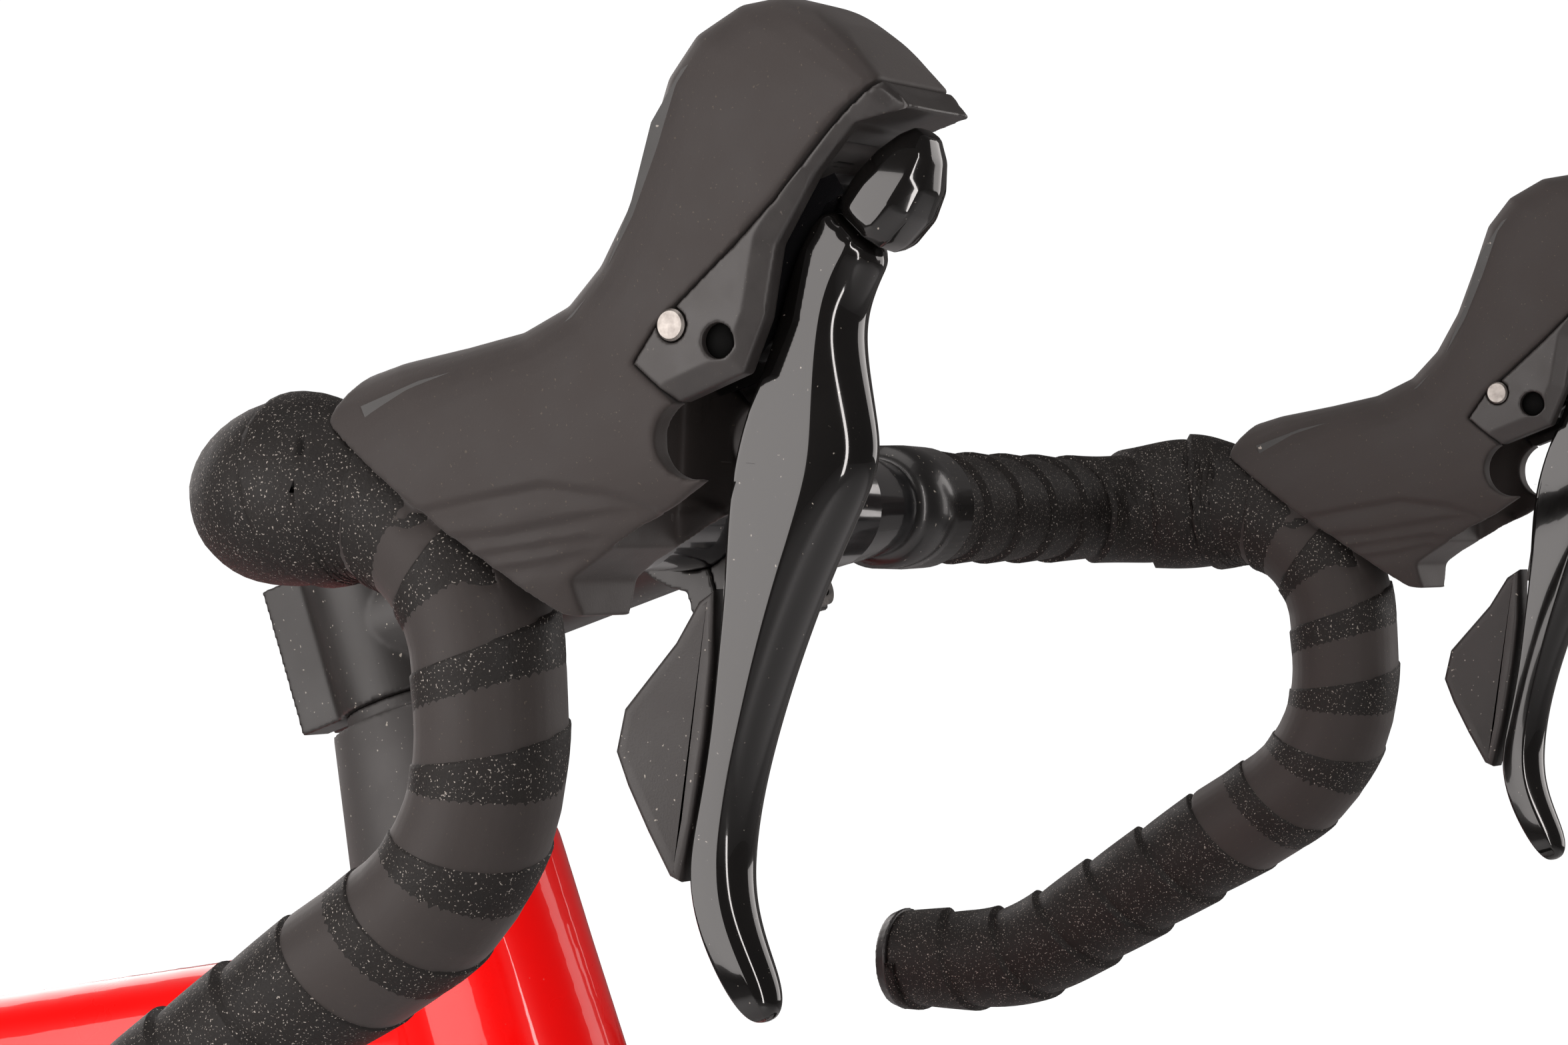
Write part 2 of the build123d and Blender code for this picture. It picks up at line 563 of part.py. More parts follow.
CAP_FOOT = CLAMP_HIGH + 0.5
CAP_HEIGHT = 5.0
CAP_TOP_RADIUS = 15.0
CAP_BOLT_RADIUS = 3.0
CAP_BOLT_REACH = 20.5
cap = rod(on_steerer(CAP_FOOT), on_steerer(CAP_FOOT + CAP_HEIGHT), SPACER_RADIUS, CAP_TOP_RADIUS)
cap += rod(on_steerer(CAP_FOOT - CAP_BOLT_REACH), on_steerer(CAP_FOOT + CAP_HEIGHT / 2), CAP_BOLT_RADIUS)
cap -= rod(on_steerer(CAP_FOOT + 2), on_steerer(CAP_FOOT + CAP_HEIGHT + 1), BOLT_SOCKET_RADIUS + 0.5)
write(cap, "stem_top_cap")

CORNER_RADIUS = 40.0
REACH_RADIUS = 34.0
HOOK_RADIUS = 45.0
HEEL_RADIUS = 60.0
HOOK_HEIGHT = 74.0          # the hook's lower corner below the bar's centre
HOOK_SLOPE = 0.543
front_x = BAR[0] + BAR_REACH
drop_z = BAR[1] - BAR_DROP
heel_x = front_x - (BAR_DROP - HOOK_HEIGHT) / HOOK_SLOPE
end_x = heel_x - 39.0


def half_bar(side, start_y):
    """Centre line of one half of the bar, from a station on the top to the end of the drop."""
    y = side * BAR_HALF_WIDTH
    return FilletPolyline(
        (BAR[0], side * start_y, BAR[1]), (BAR[0], y, BAR[1]), (front_x, y, BAR[1] - 4),
        (front_x, y, BAR[1] - HOOK_HEIGHT), (heel_x, y, drop_z), (end_x, y, drop_z),
        radius=[CORNER_RADIUS, REACH_RADIUS, HOOK_RADIUS, HEEL_RADIUS],
    )


bar = axle(BAR, -BAR_KNURL_HALF, BAR_KNURL_HALF, BAR_KNURL_RADIUS)
tapes = []
plugs = []
tape_solids = {}
for side in (-1, 1):
    thick_start = (BAR[0], side * BAR_KNURL_HALF, BAR[1])
    thick_end = (BAR[0], side * BAR_CLAMP_FLAT, BAR[1])
    thin_start = (BAR[0], side * (BAR_CLAMP_FLAT + 30), BAR[1])
    bar += rod(thick_start, thick_end, BAR_RADIUS)
    bar += rod(thick_end, thin_start, BAR_RADIUS, BAR_GRIP_RADIUS)
    bar += tube_along(half_bar(side, BAR_CLAMP_FLAT + 30), BAR_GRIP_RADIUS)
    path = half_bar(side, TAPE_START)
    outer = tube_along(path, BAR_GRIP_RADIUS + TAPE_THICKNESS)
    tape_solids[side] = outer
    tapes.append((outer - tube_along(path, BAR_GRIP_RADIUS + SEAT_GAP)).solid())
    plug_end = (end_x - 4, side * BAR_HALF_WIDTH, drop_z)
    mouth = (end_x - 0.02, side * BAR_HALF_WIDTH, drop_z)
    inside = (end_x + 14, side * BAR_HALF_WIDTH, drop_z)
    plug = rod(plug_end, mouth, BAR_GRIP_RADIUS + TAPE_THICKNESS - 1.5, BAR_GRIP_RADIUS + TAPE_THICKNESS)
    plug += rod(mouth, inside, BAR_GRIP_RADIUS - BAR_WALL - SEAT_GAP)
    plugs.append(plug.solid())
bore = axle(BAR, -BAR_CLAMP_FLAT - 20, BAR_CLAMP_FLAT + 20, BAR_GRIP_RADIUS - BAR_WALL)
for side in (-1, 1):
    bore += tube_along(half_bar(side, BAR_CLAMP_FLAT), BAR_GRIP_RADIUS - BAR_WALL)
write(largest(bar - bore), "handlebar")
write(Compound(children=tapes), "bar_tape")
write(Compound(children=plugs), "bar_end_plugs")

# ---------------------------------------------------------------- brake and gear levers
PIN = (BAR[0] + LEVER_PIN_FORWARD, BAR[1] + LEVER_PIN_UP)
# Side views about the lever's pivot pin.
HOOD = [
    (-92, -4), (-72, -1.5), (-44, 1.5), (-32, 4), (-23, 11), (-15, 22), (-8.5, 36), (-3.5, 48), (3, 54),
    (12, 59), (21, 59.5), (30, 57), (40, 49), (50, 40), (57, 36), (53, 32), (36, 30), (24, 15), (18, 0),
    (17, -14), (9, -25), (-4, -33), (-20, -41), (-31, -52), (-40, -51.5), (-61, -37), (-76, -24), (-84, -10),
]
FRONT_MOUTH = [
    (0, -15), (14, -10), (19, 0), (22, 13), (31, 25), (41, 33), (60, 36), (85, 36), (85, -80), (20, -80),
    (6, -30),
]
SIDE_COVER = [
    (-9.2, -6.4), (-3.8, 0.2), (4.7, 6.8), (22, 21), (34, 31), (45, 38.5), (53, 40), (57, 37), (41, 33), (31, 25), (22, 13),
    (19, 0), (14, -10), (0, -14.5),
]
SLOT = [(-13, 11), (-13, -8), (-22, -60), (90, -60), (90, 35), (44, 35), (34, 33), (22, 28), (4, 16)]
LEVER = [
    (29, 20.5), (31.5, 21.5), (39, 10.8), (32, 2), (30.8, -4), (32.5, -15), (33.7, -26), (26, -39),
    (16.7, -56), (8.6, -74), (3.2, -91), (2, -106), (5.8, -118.5), (7.2, -125.3), (3.8, -129),
    (-4, -121), (-9.3, -102), (-5.1, -90.4), (-1, -75), (1, -62.4), (3.7, -48.4), (5.4, -31),
    (8, -18), (15, -9.5), (20.5, 0), (23.5, 12.5),
]
PIVOT_BLOCK = [
    (-6, 6), (4, 9), (13, 15), (23, 25.5), (31.5, 27), (33, 25), (31.3, 22.6), (28, 21.4), (22.6, 13),
    (19.6, 0.6), (13.5, -9.2), (2, -8), (-6, -6),
]
LEVER_CAP = [(32, 24), (42.5, 32), (47, 31.7), (48.8, 24.5), (45, 16), (40, 12), (36, 15.5)]
PADDLE = [
    (-0.8, -48), (-4.5, -50.5), (-10, -58), (-17, -65), (-22, -70), (-24.3, -78), (-22, -84.5),
    (-18, -93), (-13.5, -101.5), (-11, -103), (-7.5, -91), (-3.8, -75), (-1.6, -62),
]
BLOCK_HALF = 6.0
PIVOT_RADIUS = 9.0
PADDLE_HALF = 5.0
PADDLE_AXIS_TOP = (6.0, -33.0)
SWING_AXIS_POINT = (38.0, 17.0)
SWING_SLOPE = math.sqrt(0.5)   # the swing axis rises forward at 45 degrees
SWING_PIN_RADIUS = 1.6
SWING_PIN_BELOW = 11.0      # the swing pin's reach below and above that point
SWING_PIN_ABOVE = 8.0
SWING_ROOM = 5.0            # extra width of the slot on the side that the blade swings to


def from_pin(points):
    return [(PIN[0] + x, PIN[1] + z) for x, z in points]


brackets = []
hoods = []
covers = []
pins = []
for side, word in ((-1, "right"), (1, "left")):
    y = side * BAR_HALF_WIDTH

    def across(outline, half):
        return plate(from_pin(outline), y - half, y + half)

    hood_body = across(HOOD, HOOD_HALF_WIDTH)
    core_face = offset(Face(Wire.make_polygon([(x, 0, z) for x, z in from_pin(HOOD)], close=True)),
                       amount=-HOOD_WALL)
    core = Pos(0, y - HOOD_HALF_WIDTH + HOOD_WALL, 0) * extrude(
        core_face, amount=2 * (HOOD_HALF_WIDTH - HOOD_WALL), dir=(0, 1, 0))
    mouth = across(FRONT_MOUTH, HOOD_HALF_WIDTH + 5)
    slot_half = LEVER_HALF_WIDTH + LEVER_SLOT_GAP
    inner_edge = y - side * (slot_half + SWING_ROOM)
    slot = plate(from_pin(SLOT), *sorted((y + side * slot_half, inner_edge)))
    grip = tape_solids[side]
    hood = hood_body - core - mouth - slot - grip
    bracket = core - mouth - slot - grip
    cover_side = across(SIDE_COVER, HOOD_HALF_WIDTH) - across(SIDE_COVER, HOOD_HALF_WIDTH - HOOD_WALL)
    hood -= cover_side
    pin_length = HOOD_HALF_WIDTH + 0.5
    pin_bore = axle(PIN, y - 40, y + 40, LEVER_PIN_RADIUS + SEAT_GAP)
    hoods.append(largest(hood - pin_bore))
    brackets.append(largest(bracket - pin_bore))
    covers.extend((cover_side - pin_bore).solids())
    pins.append(axle(PIN, y - pin_length, y + pin_length, LEVER_PIN_RADIUS).solid())

    block = across(PIVOT_BLOCK, BLOCK_HALF) + axle(PIN, y - BLOCK_HALF, y + BLOCK_HALF, PIVOT_RADIUS)
    block -= axle(PIN, y - 40, y + 40, LEVER_PIN_RADIUS + RUNNING)
    cap_solid = across(LEVER_CAP, LEVER_HALF_WIDTH + 1.5) - block
    swing = [
        (SWING_AXIS_POINT[0] + reach * SWING_SLOPE, SWING_AXIS_POINT[1] + reach * SWING_SLOPE)
        for reach in (-SWING_PIN_BELOW, SWING_PIN_ABOVE)
    ]
    swing_low, swing_high = [(x, y, z) for x, z in from_pin(swing)]
    cap_solid += rod(swing_low, swing_high, SWING_PIN_RADIUS) - block
    write(Compound(children=[block.solid(), cap_solid.solid()]), f"{word}_lever_pivot")
    lever = across(LEVER, LEVER_HALF_WIDTH)
    lever -= rod(swing_low, swing_high, SWING_PIN_RADIUS + RUNNING)
    paddle_slot = across(PADDLE, PADDLE_HALF + 0.6)
    top = from_pin([PADDLE_AXIS_TOP, PADDLE[0]])
    paddle_top = (top[0][0], y, top[0][1])
    paddle_low = (top[1][0] + 4.5, y, top[1][1] - 4)
    lever -= rod(paddle_top, paddle_low, 3.6)
    lever -= across([(-12, -30), (4, -30), (6, -54), (-12, -54)], PADDLE_HALF + 0.6)
    write(largest(lever - paddle_slot), f"{word}_brake_lever")
    paddle = across(PADDLE, PADDLE_HALF - 0.5) + rod(paddle_top, paddle_low, 2.6)
    paddle += across([(-5, -40), (6, -38), (4, -51), (-4, -52)], 2.2)
    write(largest(paddle), f"{word}_shift_paddle")

write(Compound(children=brackets), "lever_brackets")
write(Compound(children=hoods), "lever_hoods")
write(Compound(children=covers), "lever_side_covers")
write(Compound(children=pins), "lever_pivot_pins")

# ---------------------------------------------------------------- wheels
RIM_BED = BEAD_RADIUS - 4.0
RIM_LIP = BEAD_RADIUS + 5.5
RIM_INNER = BEAD_RADIUS - RIM_DEPTH
TYRE_WALL = 1.8
HUB_END_GAP = 0.3
FREEHUB_BORE = AXLE_RADIUS + RUNNING

rim_half = [
    (RIM_INNER, 0), (RIM_INNER + 1.5, 4.5), (RIM_INNER + 12, 10.5), (BEAD_RADIUS - 8, RIM_HALF_WIDTH),
    (RIM_LIP, RIM_HALF_WIDTH), (RIM_LIP, RIM_HALF_WIDTH - 2.5), (RIM_BED + 2, RIM_HALF_WIDTH - 3),
    (RIM_BED, RIM_HALF_WIDTH - 4), (RIM_BED - 3, 4), (RIM_BED - 3, 0),
]
rim_profile = profile(rim_half + [(r, -y) for r, y in reversed(rim_half[1:-1])])
rim_profile = rim_profile - profile([
    (RIM_INNER + 3.5, 0), (RIM_INNER + 13, 8.5), (BEAD_RADIUS - 9, RIM_HALF_WIDTH - 2),
    (RIM_BED - 5, 4), (RIM_BED - 5, -4), (BEAD_RADIUS - 9, 2 - RIM_HALF_WIDTH), (RIM_INNER + 13, -8.5),
])
rim = wheel_solid(rim_profile, (0, 0))
tyre_profile = Pos(TYRE_CENTRE, 0) * (Circle(TYRE_SECTION) - Circle(TYRE_SECTION - TYRE_WALL))
tyre_profile -= Pos(RIM_BED, 0) * Rectangle(6, 60)
tyre = largest(wheel_solid(tyre_profile, (0, 0)) - rim)


def spoke_set(hub):
    """Crossed spokes from the two flanges to the rim: (flange station, flange radius) twice."""
    spokes = []
    for index in range(SPOKE_COUNT):
        station, flange = hub[index % 2]
        rim_angle = 2 * math.pi * (index + 0.5) / SPOKE_COUNT
        lead = math.radians(46 if (index // 2) % 2 else -46)
        hub_angle = rim_angle + lead
        foot = (flange * math.cos(hub_angle), station, flange * math.sin(hub_angle))
        nipple = (RIM_INNER + 1.2, math.copysign(1.5, station))
        tip = (nipple[0] * math.cos(rim_angle), nipple[1], nipple[0] * math.sin(rim_angle))
        spokes.append(rod(foot, tip, SPOKE_RADIUS))
    return spokes


def rotor(radius, plane, centre_bore):
    """Brake disc with six arms, centred on its own axle at the origin."""
    face = Circle(radius) - Circle(radius - 15)
    for arm in range(6):
        face += Rot(0, 0, 60 * arm) * Pos((radius - 8) / 2 + 8, 0) * Rectangle(radius - 24, 6)
    face += Circle(24)
    face -= Circle(centre_bore)
    return extrude(side_plane((0, 0), plane) * face, amount=ROTOR_THICKNESS / 2, both=True)


def placed(shape, centre):
    return Pos(centre[0], 0, centre[1]) * shape


def wheel(name, centre, hub_half, flanges, shell_radius, rotor_radius, drive_step):
    """Writes one wheel's rim, tyre, spokes, hub and brake disc."""
    end = hub_half - HUB_END_GAP
    right_end = -end if drive_step is None else drive_step
    hub = axle((0, 0), right_end, end, 9.5)
    low, high = flanges[0][0], flanges[1][0]
    hub += axle((0, 0), low, high, shell_radius)
    for station, radius in flanges:
        hub += axle((0, 0), station - 1.6, station + 1.6, radius + 3.5)
    rotor_plane = hub_half - ROTOR_INSET
    hub += axle((0, 0), high, rotor_plane + 3, 17)
    if drive_step is None:
        hub += axle((0, 0), low, low - 6, 13)
    hub -= axle((0, 0), -hub_half - 5, hub_half + 5, AXLE_RADIUS + RUNNING)
    disc = rotor(rotor_radius, rotor_plane, 17 + SEAT_GAP)
    write(placed(rim, centre), f"{name}_rim")
    write(placed(tyre, centre), f"{name}_tyre")
    write(Compound(children=[placed(s, centre) for s in spoke_set(flanges)]), f"{name}_spokes")
    write(placed(hub, centre), f"{name}_hub")
    write(placed(disc, centre), f"{name}_brake_rotor")
    return rotor_plane


front_rotor_y = wheel("front", FRONT_AXLE, FRONT_HUB_HALF, [(-30, 20), (20, 22)], 14, FRONT_ROTOR_RADIUS, None)
FREEHUB_START = -22.5
rear_rotor_y = wheel(
    "rear", REAR_AXLE, REAR_HUB_HALF, [(-18, 24), (36, 22)], 16, REAR_ROTOR_RADIUS, FREEHUB_START
)

# ---- brake calipers: a block astride the disc with a slot, and two pads inside
ROTOR_SLOT = 3.4
PAD_THICKNESS = 3.2
PAD_GAP = 0.35


def caliper(block, centre, rotor_y, radius, seat, pad_plane):
    """Caliper block cut for its disc, its pads and the frame face that it sits on."""
    block -= axle(centre, rotor_y - ROTOR_SLOT / 2, rotor_y + ROTOR_SLOT / 2, radius + 3)
    pads = []
    for side in (-1, 1):
        inner = rotor_y + side * (ROTOR_THICKNESS / 2 + PAD_GAP)
        middle = inner + side * PAD_THICKNESS / 2
        pad = pad_plane(middle) * Box(22, 18, PAD_THICKNESS)
        block -= pad_plane(middle) * Box(22.4, 18.4, PAD_THICKNESS + 0.4)
        pads.append(pad.solid())
    return Compound(children=[largest(block - seat)] + pads)


front_mid = on_steerer(76, 2)
front_block = Plane(
    origin=(front_mid[0], front_rotor_y, front_mid[2]), x_dir=(STEER_UP[0], 0, STEER_UP[1]), z_dir=(0, 1, 0)
) * Box(52, 36, 28)
front_block = fillet(front_block.edges().filter_by(Axis.Y), 8)


def front_pad_plane(y):
    return Plane(origin=(front_mid[0], y, front_mid[2]), x_dir=(STEER_UP[0], 0, STEER_UP[1]), z_dir=(0, 1, 0)
                 ) * Pos(-4, -2, 0)


front_caliper = caliper(
    front_block, FRONT_AXLE, front_rotor_y, FRONT_ROTOR_RADIUS, fork_blades, front_pad_plane
)
write(front_caliper, "front_brake_caliper")

rear_mid = (REAR_AXLE[0] + 62, REAR_AXLE[1] + 18)
rear_block = Pos(rear_mid[0], rear_rotor_y, rear_mid[1]) * Box(46, 28, 34)
rear_block = fillet(rear_block.edges().filter_by(Axis.Y), 8)


def rear_pad_plane(y):
    return Plane(origin=(rear_mid[0] - 4, y, rear_mid[1]), x_dir=(1, 0, 0), z_dir=(0, 1, 0))


rear_stays = Compound(children=chainstays + seatstays)
rear_caliper = caliper(
    rear_block, REAR_AXLE, rear_rotor_y, REAR_ROTOR_RADIUS, rear_stays, rear_pad_plane
)
write(rear_caliper, "rear_brake_caliper")


# ---------------------------------------------------------------- chain path
def pitch_radius(teeth):
    return teeth * PITCH / (2 * math.pi)


GUIDE = (REAR_AXLE[0] + GUIDE_PULLEY[0], REAR_AXLE[1] + GUIDE_PULLEY[1])
COG_TEETH = COGS[CHAIN_COG]


def tension_pulley(cage_angle):
    return (
        GUIDE[0] + CAGE_LENGTH * math.cos(cage_angle),
        GUIDE[1] + CAGE_LENGTH * math.sin(cage_angle),
    )


def chain_pieces(cage_angle):
    """Runs and arcs of the chain, in order, starting on top of the chainring."""
    wheels = [
        (BB, pitch_radius(OUTER_RING_TEETH), 1),
        (REAR_AXLE, pitch_radius(COG_TEETH), 1),
        (GUIDE, pitch_radius(PULLEY_TEETH), -1),
        (tension_pulley(cage_angle), pitch_radius(PULLEY_TEETH), 1),
    ]
    runs = []
    for index, (centre, radius, turn) in enumerate(wheels):
        after, after_radius, after_turn = wheels[(index + 1) % 4]
        dx, dz = after[0] - centre[0], after[1] - centre[1]
        span = math.hypot(dx, dz)
        heading = math.atan2(dz, dx) + math.asin((turn * radius - after_turn * after_radius) / span)
        right = (math.sin(heading), -math.cos(heading))
        leave = (centre[0] + turn * radius * right[0], centre[1] + turn * radius * right[1])
        meet = (after[0] + after_turn * after_radius * right[0],
                after[1] + after_turn * after_radius * right[1])
        runs.append((leave, meet))
    pieces = []
    for index in range(4):
        leave, meet = runs[index]
        pieces.append(("run", leave, meet, math.dist(leave, meet)))
        centre, radius, turn = wheels[(index + 1) % 4]
        onto = math.atan2(meet[1] - centre[1], meet[0] - centre[0])
        off_point = runs[(index + 1) % 4][0]
        off = math.atan2(off_point[1] - centre[1], off_point[0] - centre[0])
        sweep_angle = ((off - onto) * turn) % (2 * math.pi)
        pieces.append(("arc", centre, (radius, onto, turn), radius * sweep_angle))
    return pieces


def chain_length(cage_angle):
    return sum(piece[3] for piece in chain_pieces(cage_angle))


CAGE_REST = math.radians(-78)
link_total = 2 * round(chain_length(CAGE_REST) / (2 * PITCH))
low_angle, high_angle = math.radians(-160), math.radians(-20)
for _ in range(60):
    cage_angle = (low_angle + high_angle) / 2
    if chain_length(cage_angle) > link_total * PITCH:
        low_angle = cage_angle
    else:
        high_angle = cage_angle
TENSION = tension_pulley(cage_angle)
print("chain links", link_total, "cage angle", round(math.degrees(cage_angle), 2))


def chain_rollers():
    """Side-view centre of every roller, and the tooth phase of each toothed wheel."""
    pieces = chain_pieces(cage_angle)
    rollers = []
    phases = {}
    travelled = 0.0
    index = 0
    for kind, first, second, length in pieces:
        while index < link_total and index * PITCH < travelled + length - 1e-6:
            part = index * PITCH - travelled
            if kind == "run":
                share = part / length
                rollers.append((between(first[0], second[0], share), between(first[1], second[1], share)))
            else:
                radius, onto, turn = second
                angle = onto + turn * part / radius
                rollers.append((first[0] + radius * math.cos(angle), first[1] + radius * math.sin(angle)))
                phases[first] = angle
            index += 1
        travelled += length
    return rollers, phases


rollers, phases = chain_rollers()


def link_plates(y_inner, y_outer, half_height):
    """A pair of side plates one pitch long, from the origin forward."""
    plates = []
    for side in (-1, 1):
        face = side_plane((0, 0), side * (y_inner + y_outer) / 2) * (
            Pos(PITCH / 2, 0) * SlotCenterToCenter(PITCH, 2 * half_height))
        plates.append(extrude(face, amount=(y_outer - y_inner) / 2, both=True))
    return plates[0] + plates[1]


ROLLER_HALF = 1.15
inner_link = link_plates(ROLLER_HALF, 1.8, 3.9)
outer_link = link_plates(1.95, 2.55, 3.9)
for end in (0, PITCH):
    inner_link += axle((end, 0), -1.8, 1.8, ROLLER_RADIUS)
    inner_link -= axle((end, 0), -3, 3, 1.75)
    outer_link += axle((end, 0), -2.55, 2.55, 1.5)
links = []
for index in range(link_total):
    start, end = rollers[index], rollers[(index + 1) % link_total]
    heading = math.degrees(math.atan2(end[1] - start[1], end[0] - start[0]))
    slack = (math.dist(start, end) - PITCH) / 2
    along = math.radians(heading)
    place = Pos(start[0] + slack * math.cos(along), CHAIN_PLANE, start[1] + slack * math.sin(along))
    pattern = outer_link if index % 2 else inner_link
    links.append((place * Rot(0, -heading, 0) * pattern).solid())
write(Compound(children=links), "chain")


# ---------------------------------------------------------------- cassette, chainrings, cranks
TOOTH_TIP = 2.2
SEAT_RADIUS = ROLLER_RADIUS + 0.45
RELIEF_RADIUS = 6.0


def sprocket(centre, teeth, y, thickness, phase, bore):
    """Toothed disc for the roller chain, with one tooth gap at the phase angle."""
    radius = pitch_radius(teeth)
    face = Circle(radius + TOOTH_TIP)
    start = math.degrees(phase)
    face -= PolarLocations(radius, teeth, start_angle=start) * Circle(SEAT_RADIUS)
    face -= PolarLocations(radius + 5, teeth, start_angle=start) * Circle(RELIEF_RADIUS)
    face -= Circle(bore)
    return extrude(side_plane(centre, y) * face, amount=thickness / 2, both=True)


COG_THICKNESS = 1.6
FREEHUB_RADIUS = 16.0
cassette_parts = None
for index, teeth in enumerate(COGS):
    y = CHAIN_PLANE - (CHAIN_COG - index) * COG_PITCH
    phase = phases[REAR_AXLE] if index == CHAIN_COG else 0.0
    cog = sprocket(REAR_AXLE, teeth, y, COG_THICKNESS, phase, FREEHUB_RADIUS - 1)
    cassette_parts = cog if cassette_parts is None else cassette_parts + cog
inner_face = CHAIN_PLANE + (len(COGS) - 1 - CHAIN_COG) * COG_PITCH + 0.8
outer_face = CHAIN_PLANE - CHAIN_COG * COG_PITCH - 0.8
cassette_parts += axle(REAR_AXLE, outer_face, inner_face, FREEHUB_RADIUS)
cassette_parts += axle(REAR_AXLE, -REAR_HUB_HALF + HUB_END_GAP, outer_face, 9.5)
cassette_parts -= axle(REAR_AXLE, -REAR_HUB_HALF - 5, inner_face + 5, FREEHUB_BORE)
write(cassette_parts, "cassette")

RING_THICKNESS = 2.0
RING_BORE = 50.0
SPIDER_RADIUS = 60.0
outer_ring = sprocket(BB, OUTER_RING_TEETH, CHAIN_PLANE, RING_THICKNESS, phases[BB], RING_BORE)
inner_ring = sprocket(BB, INNER_RING_TEETH, INNER_RING_PLANE, RING_THICKNESS, 0.0, RING_BORE)
write(Compound(children=[outer_ring.solid(), inner_ring.solid()]), "chainrings")

ARM_IN = 54.5
ARM_THICKNESS = 13.5
PEDAL_RIGHT = (BB[0] + CRANK_LENGTH, BB[1])
PEDAL_LEFT = (BB[0] - CRANK_LENGTH, BB[1])
PEDAL_AXLE_RADIUS = 7.0
spider_in = INNER_RING_PLANE - RING_THICKNESS / 2
spider_out = CHAIN_PLANE + RING_THICKNESS / 2
right_crank = strap(BB, 21, PEDAL_RIGHT, 14, -ARM_IN - ARM_THICKNESS, -ARM_IN)
spider = Circle(30)
for arm in range(4):
    spider += Rot(0, 0, 45 + 90 * arm) * Pos(SPIDER_RADIUS / 2, 0) * Rectangle(SPIDER_RADIUS, 14)
right_crank += extrude(side_plane(BB, (spider_in + spider_out) / 2) * spider,
                       amount=(spider_in - spider_out) / 2, both=True)
right_crank += axle(BB, -ARM_IN - 1, spider_in, 21)
right_crank += axle(BB, -ARM_IN - 1, ARM_IN + ARM_THICKNESS - 3, SPINDLE_RADIUS)
right_crank -= axle(BB, -ARM_IN - ARM_THICKNESS - 1, ARM_IN + ARM_THICKNESS, SPINDLE_RADIUS - 3.5)
right_crank += axle(BB, -ARM_IN - ARM_THICKNESS, -ARM_IN - ARM_THICKNESS + 3, SPINDLE_RADIUS)
left_crank = strap(BB, 19, PEDAL_LEFT, 14, ARM_IN, ARM_IN + ARM_THICKNESS)
left_crank -= axle(BB, ARM_IN - 1, ARM_IN + ARM_THICKNESS + 1, SPINDLE_RADIUS + SEAT_GAP)

PEDAL_INNER = ARM_IN + ARM_THICKNESS + 2.0
PEDAL_OUTER = PEDAL_INNER + 56.0
for side, word, centre, crank in ((-1, "right", PEDAL_RIGHT, right_crank), (1, "left", PEDAL_LEFT, left_crank)):
    crank -= axle(centre, side * 50, side * 75, PEDAL_AXLE_RADIUS + SEAT_GAP)
    spindle = axle(centre, side * ARM_IN, side * (PEDAL_INNER - 0.5), PEDAL_AXLE_RADIUS)
    spindle += axle(centre, side * (PEDAL_INNER - 0.5), side * (PEDAL_OUTER - 6), 4.5)
    crank_parts = [largest(crank), spindle.solid()]
    write(Compound(children=crank_parts), f"{word}_crank")
    body = axle(centre, side * PEDAL_INNER, side * PEDAL_OUTER, 9)
    body += plate([
        (centre[0] - 34, centre[1] - 5), (centre[0] + 30, centre[1] - 6), (centre[0] + 38, centre[1]),
        (centre[0] + 30, centre[1] + 6), (centre[0] - 34, centre[1] + 5),
    ], side * (PEDAL_INNER + 5), side * PEDAL_OUTER)
    body -= axle(centre, side * (PEDAL_INNER - 1), side * (PEDAL_OUTER - 5.5), 4.5 + RUNNING)
    write(body, f"{word}_pedal")

# ---------------------------------------------------------------- rear derailleur
SPREAD = math.radians(LINK_SPREAD)
P_OFFSET = (19.0, 2.5)      # the lower link pivot, seen from the guide pulley
P_PLANE = -78.0
LINK_LEAN = (0.866, 0.5)    # the link pivots' direction in side view, square to LINK_DROP
reach = LINK_LENGTH * math.cos(SPREAD)
p_pivot = Vector(GUIDE[0] + P_OFFSET[0], P_PLANE, GUIDE[1] + P_OFFSET[1])
b_pivot = Vector(
    p_pivot.X - reach * LINK_DROP[0], P_PLANE + LINK_LENGTH * math.sin(SPREAD), p_pivot.Z - reach * LINK_DROP[1]
)
pivot_line = Vector(LINK_LEAN[0], 0, LINK_LEAN[1])
LINK_EYE_RADIUS = 5.5
LINK_EYE_HALF = 7.0
EAR_WIDTH = 3.5
LINK_PIN_RADIUS = 2.5
LINK_RADIUS = 5.0
LINK_SIDE_GAP = 0.3
ARM_THIN = 1.7
ARM_THICK = 3.0
KNUCKLE_ARM = (-1.7, -23, 3)   # from the upper link pivot's ear to the bend of its arm
BODY_ARM = (6.5, 5, -11.3)     # the same, from the lower link pivot


def ears(pivot):
    """Two ears and a pin that carry one end of the derailleur's link."""
    inner = pivot_line * (LINK_EYE_HALF + LINK_SIDE_GAP)
    outer = pivot_line * (LINK_EYE_HALF + LINK_SIDE_GAP + EAR_WIDTH)
    solid = rod(tuple(pivot + inner), tuple(pivot + outer), LINK_EYE_RADIUS)
    solid += rod(tuple(pivot - outer), tuple(pivot - inner), LINK_EYE_RADIUS)
    return solid + rod(tuple(pivot - outer), tuple(pivot + outer), LINK_PIN_RADIUS)


link = rod(tuple(b_pivot), tuple(p_pivot), LINK_RADIUS)
for pivot in (b_pivot, p_pivot):
    half = pivot_line * LINK_EYE_HALF
    link += rod(tuple(pivot - half), tuple(pivot + half), LINK_EYE_RADIUS)
for pivot in (b_pivot, p_pivot):
    half = pivot_line * (LINK_EYE_HALF + 1)
    link -= rod(tuple(pivot - half), tuple(pivot + half), LINK_PIN_RADIUS + RUNNING)
write(link, "rear_derailleur_link")

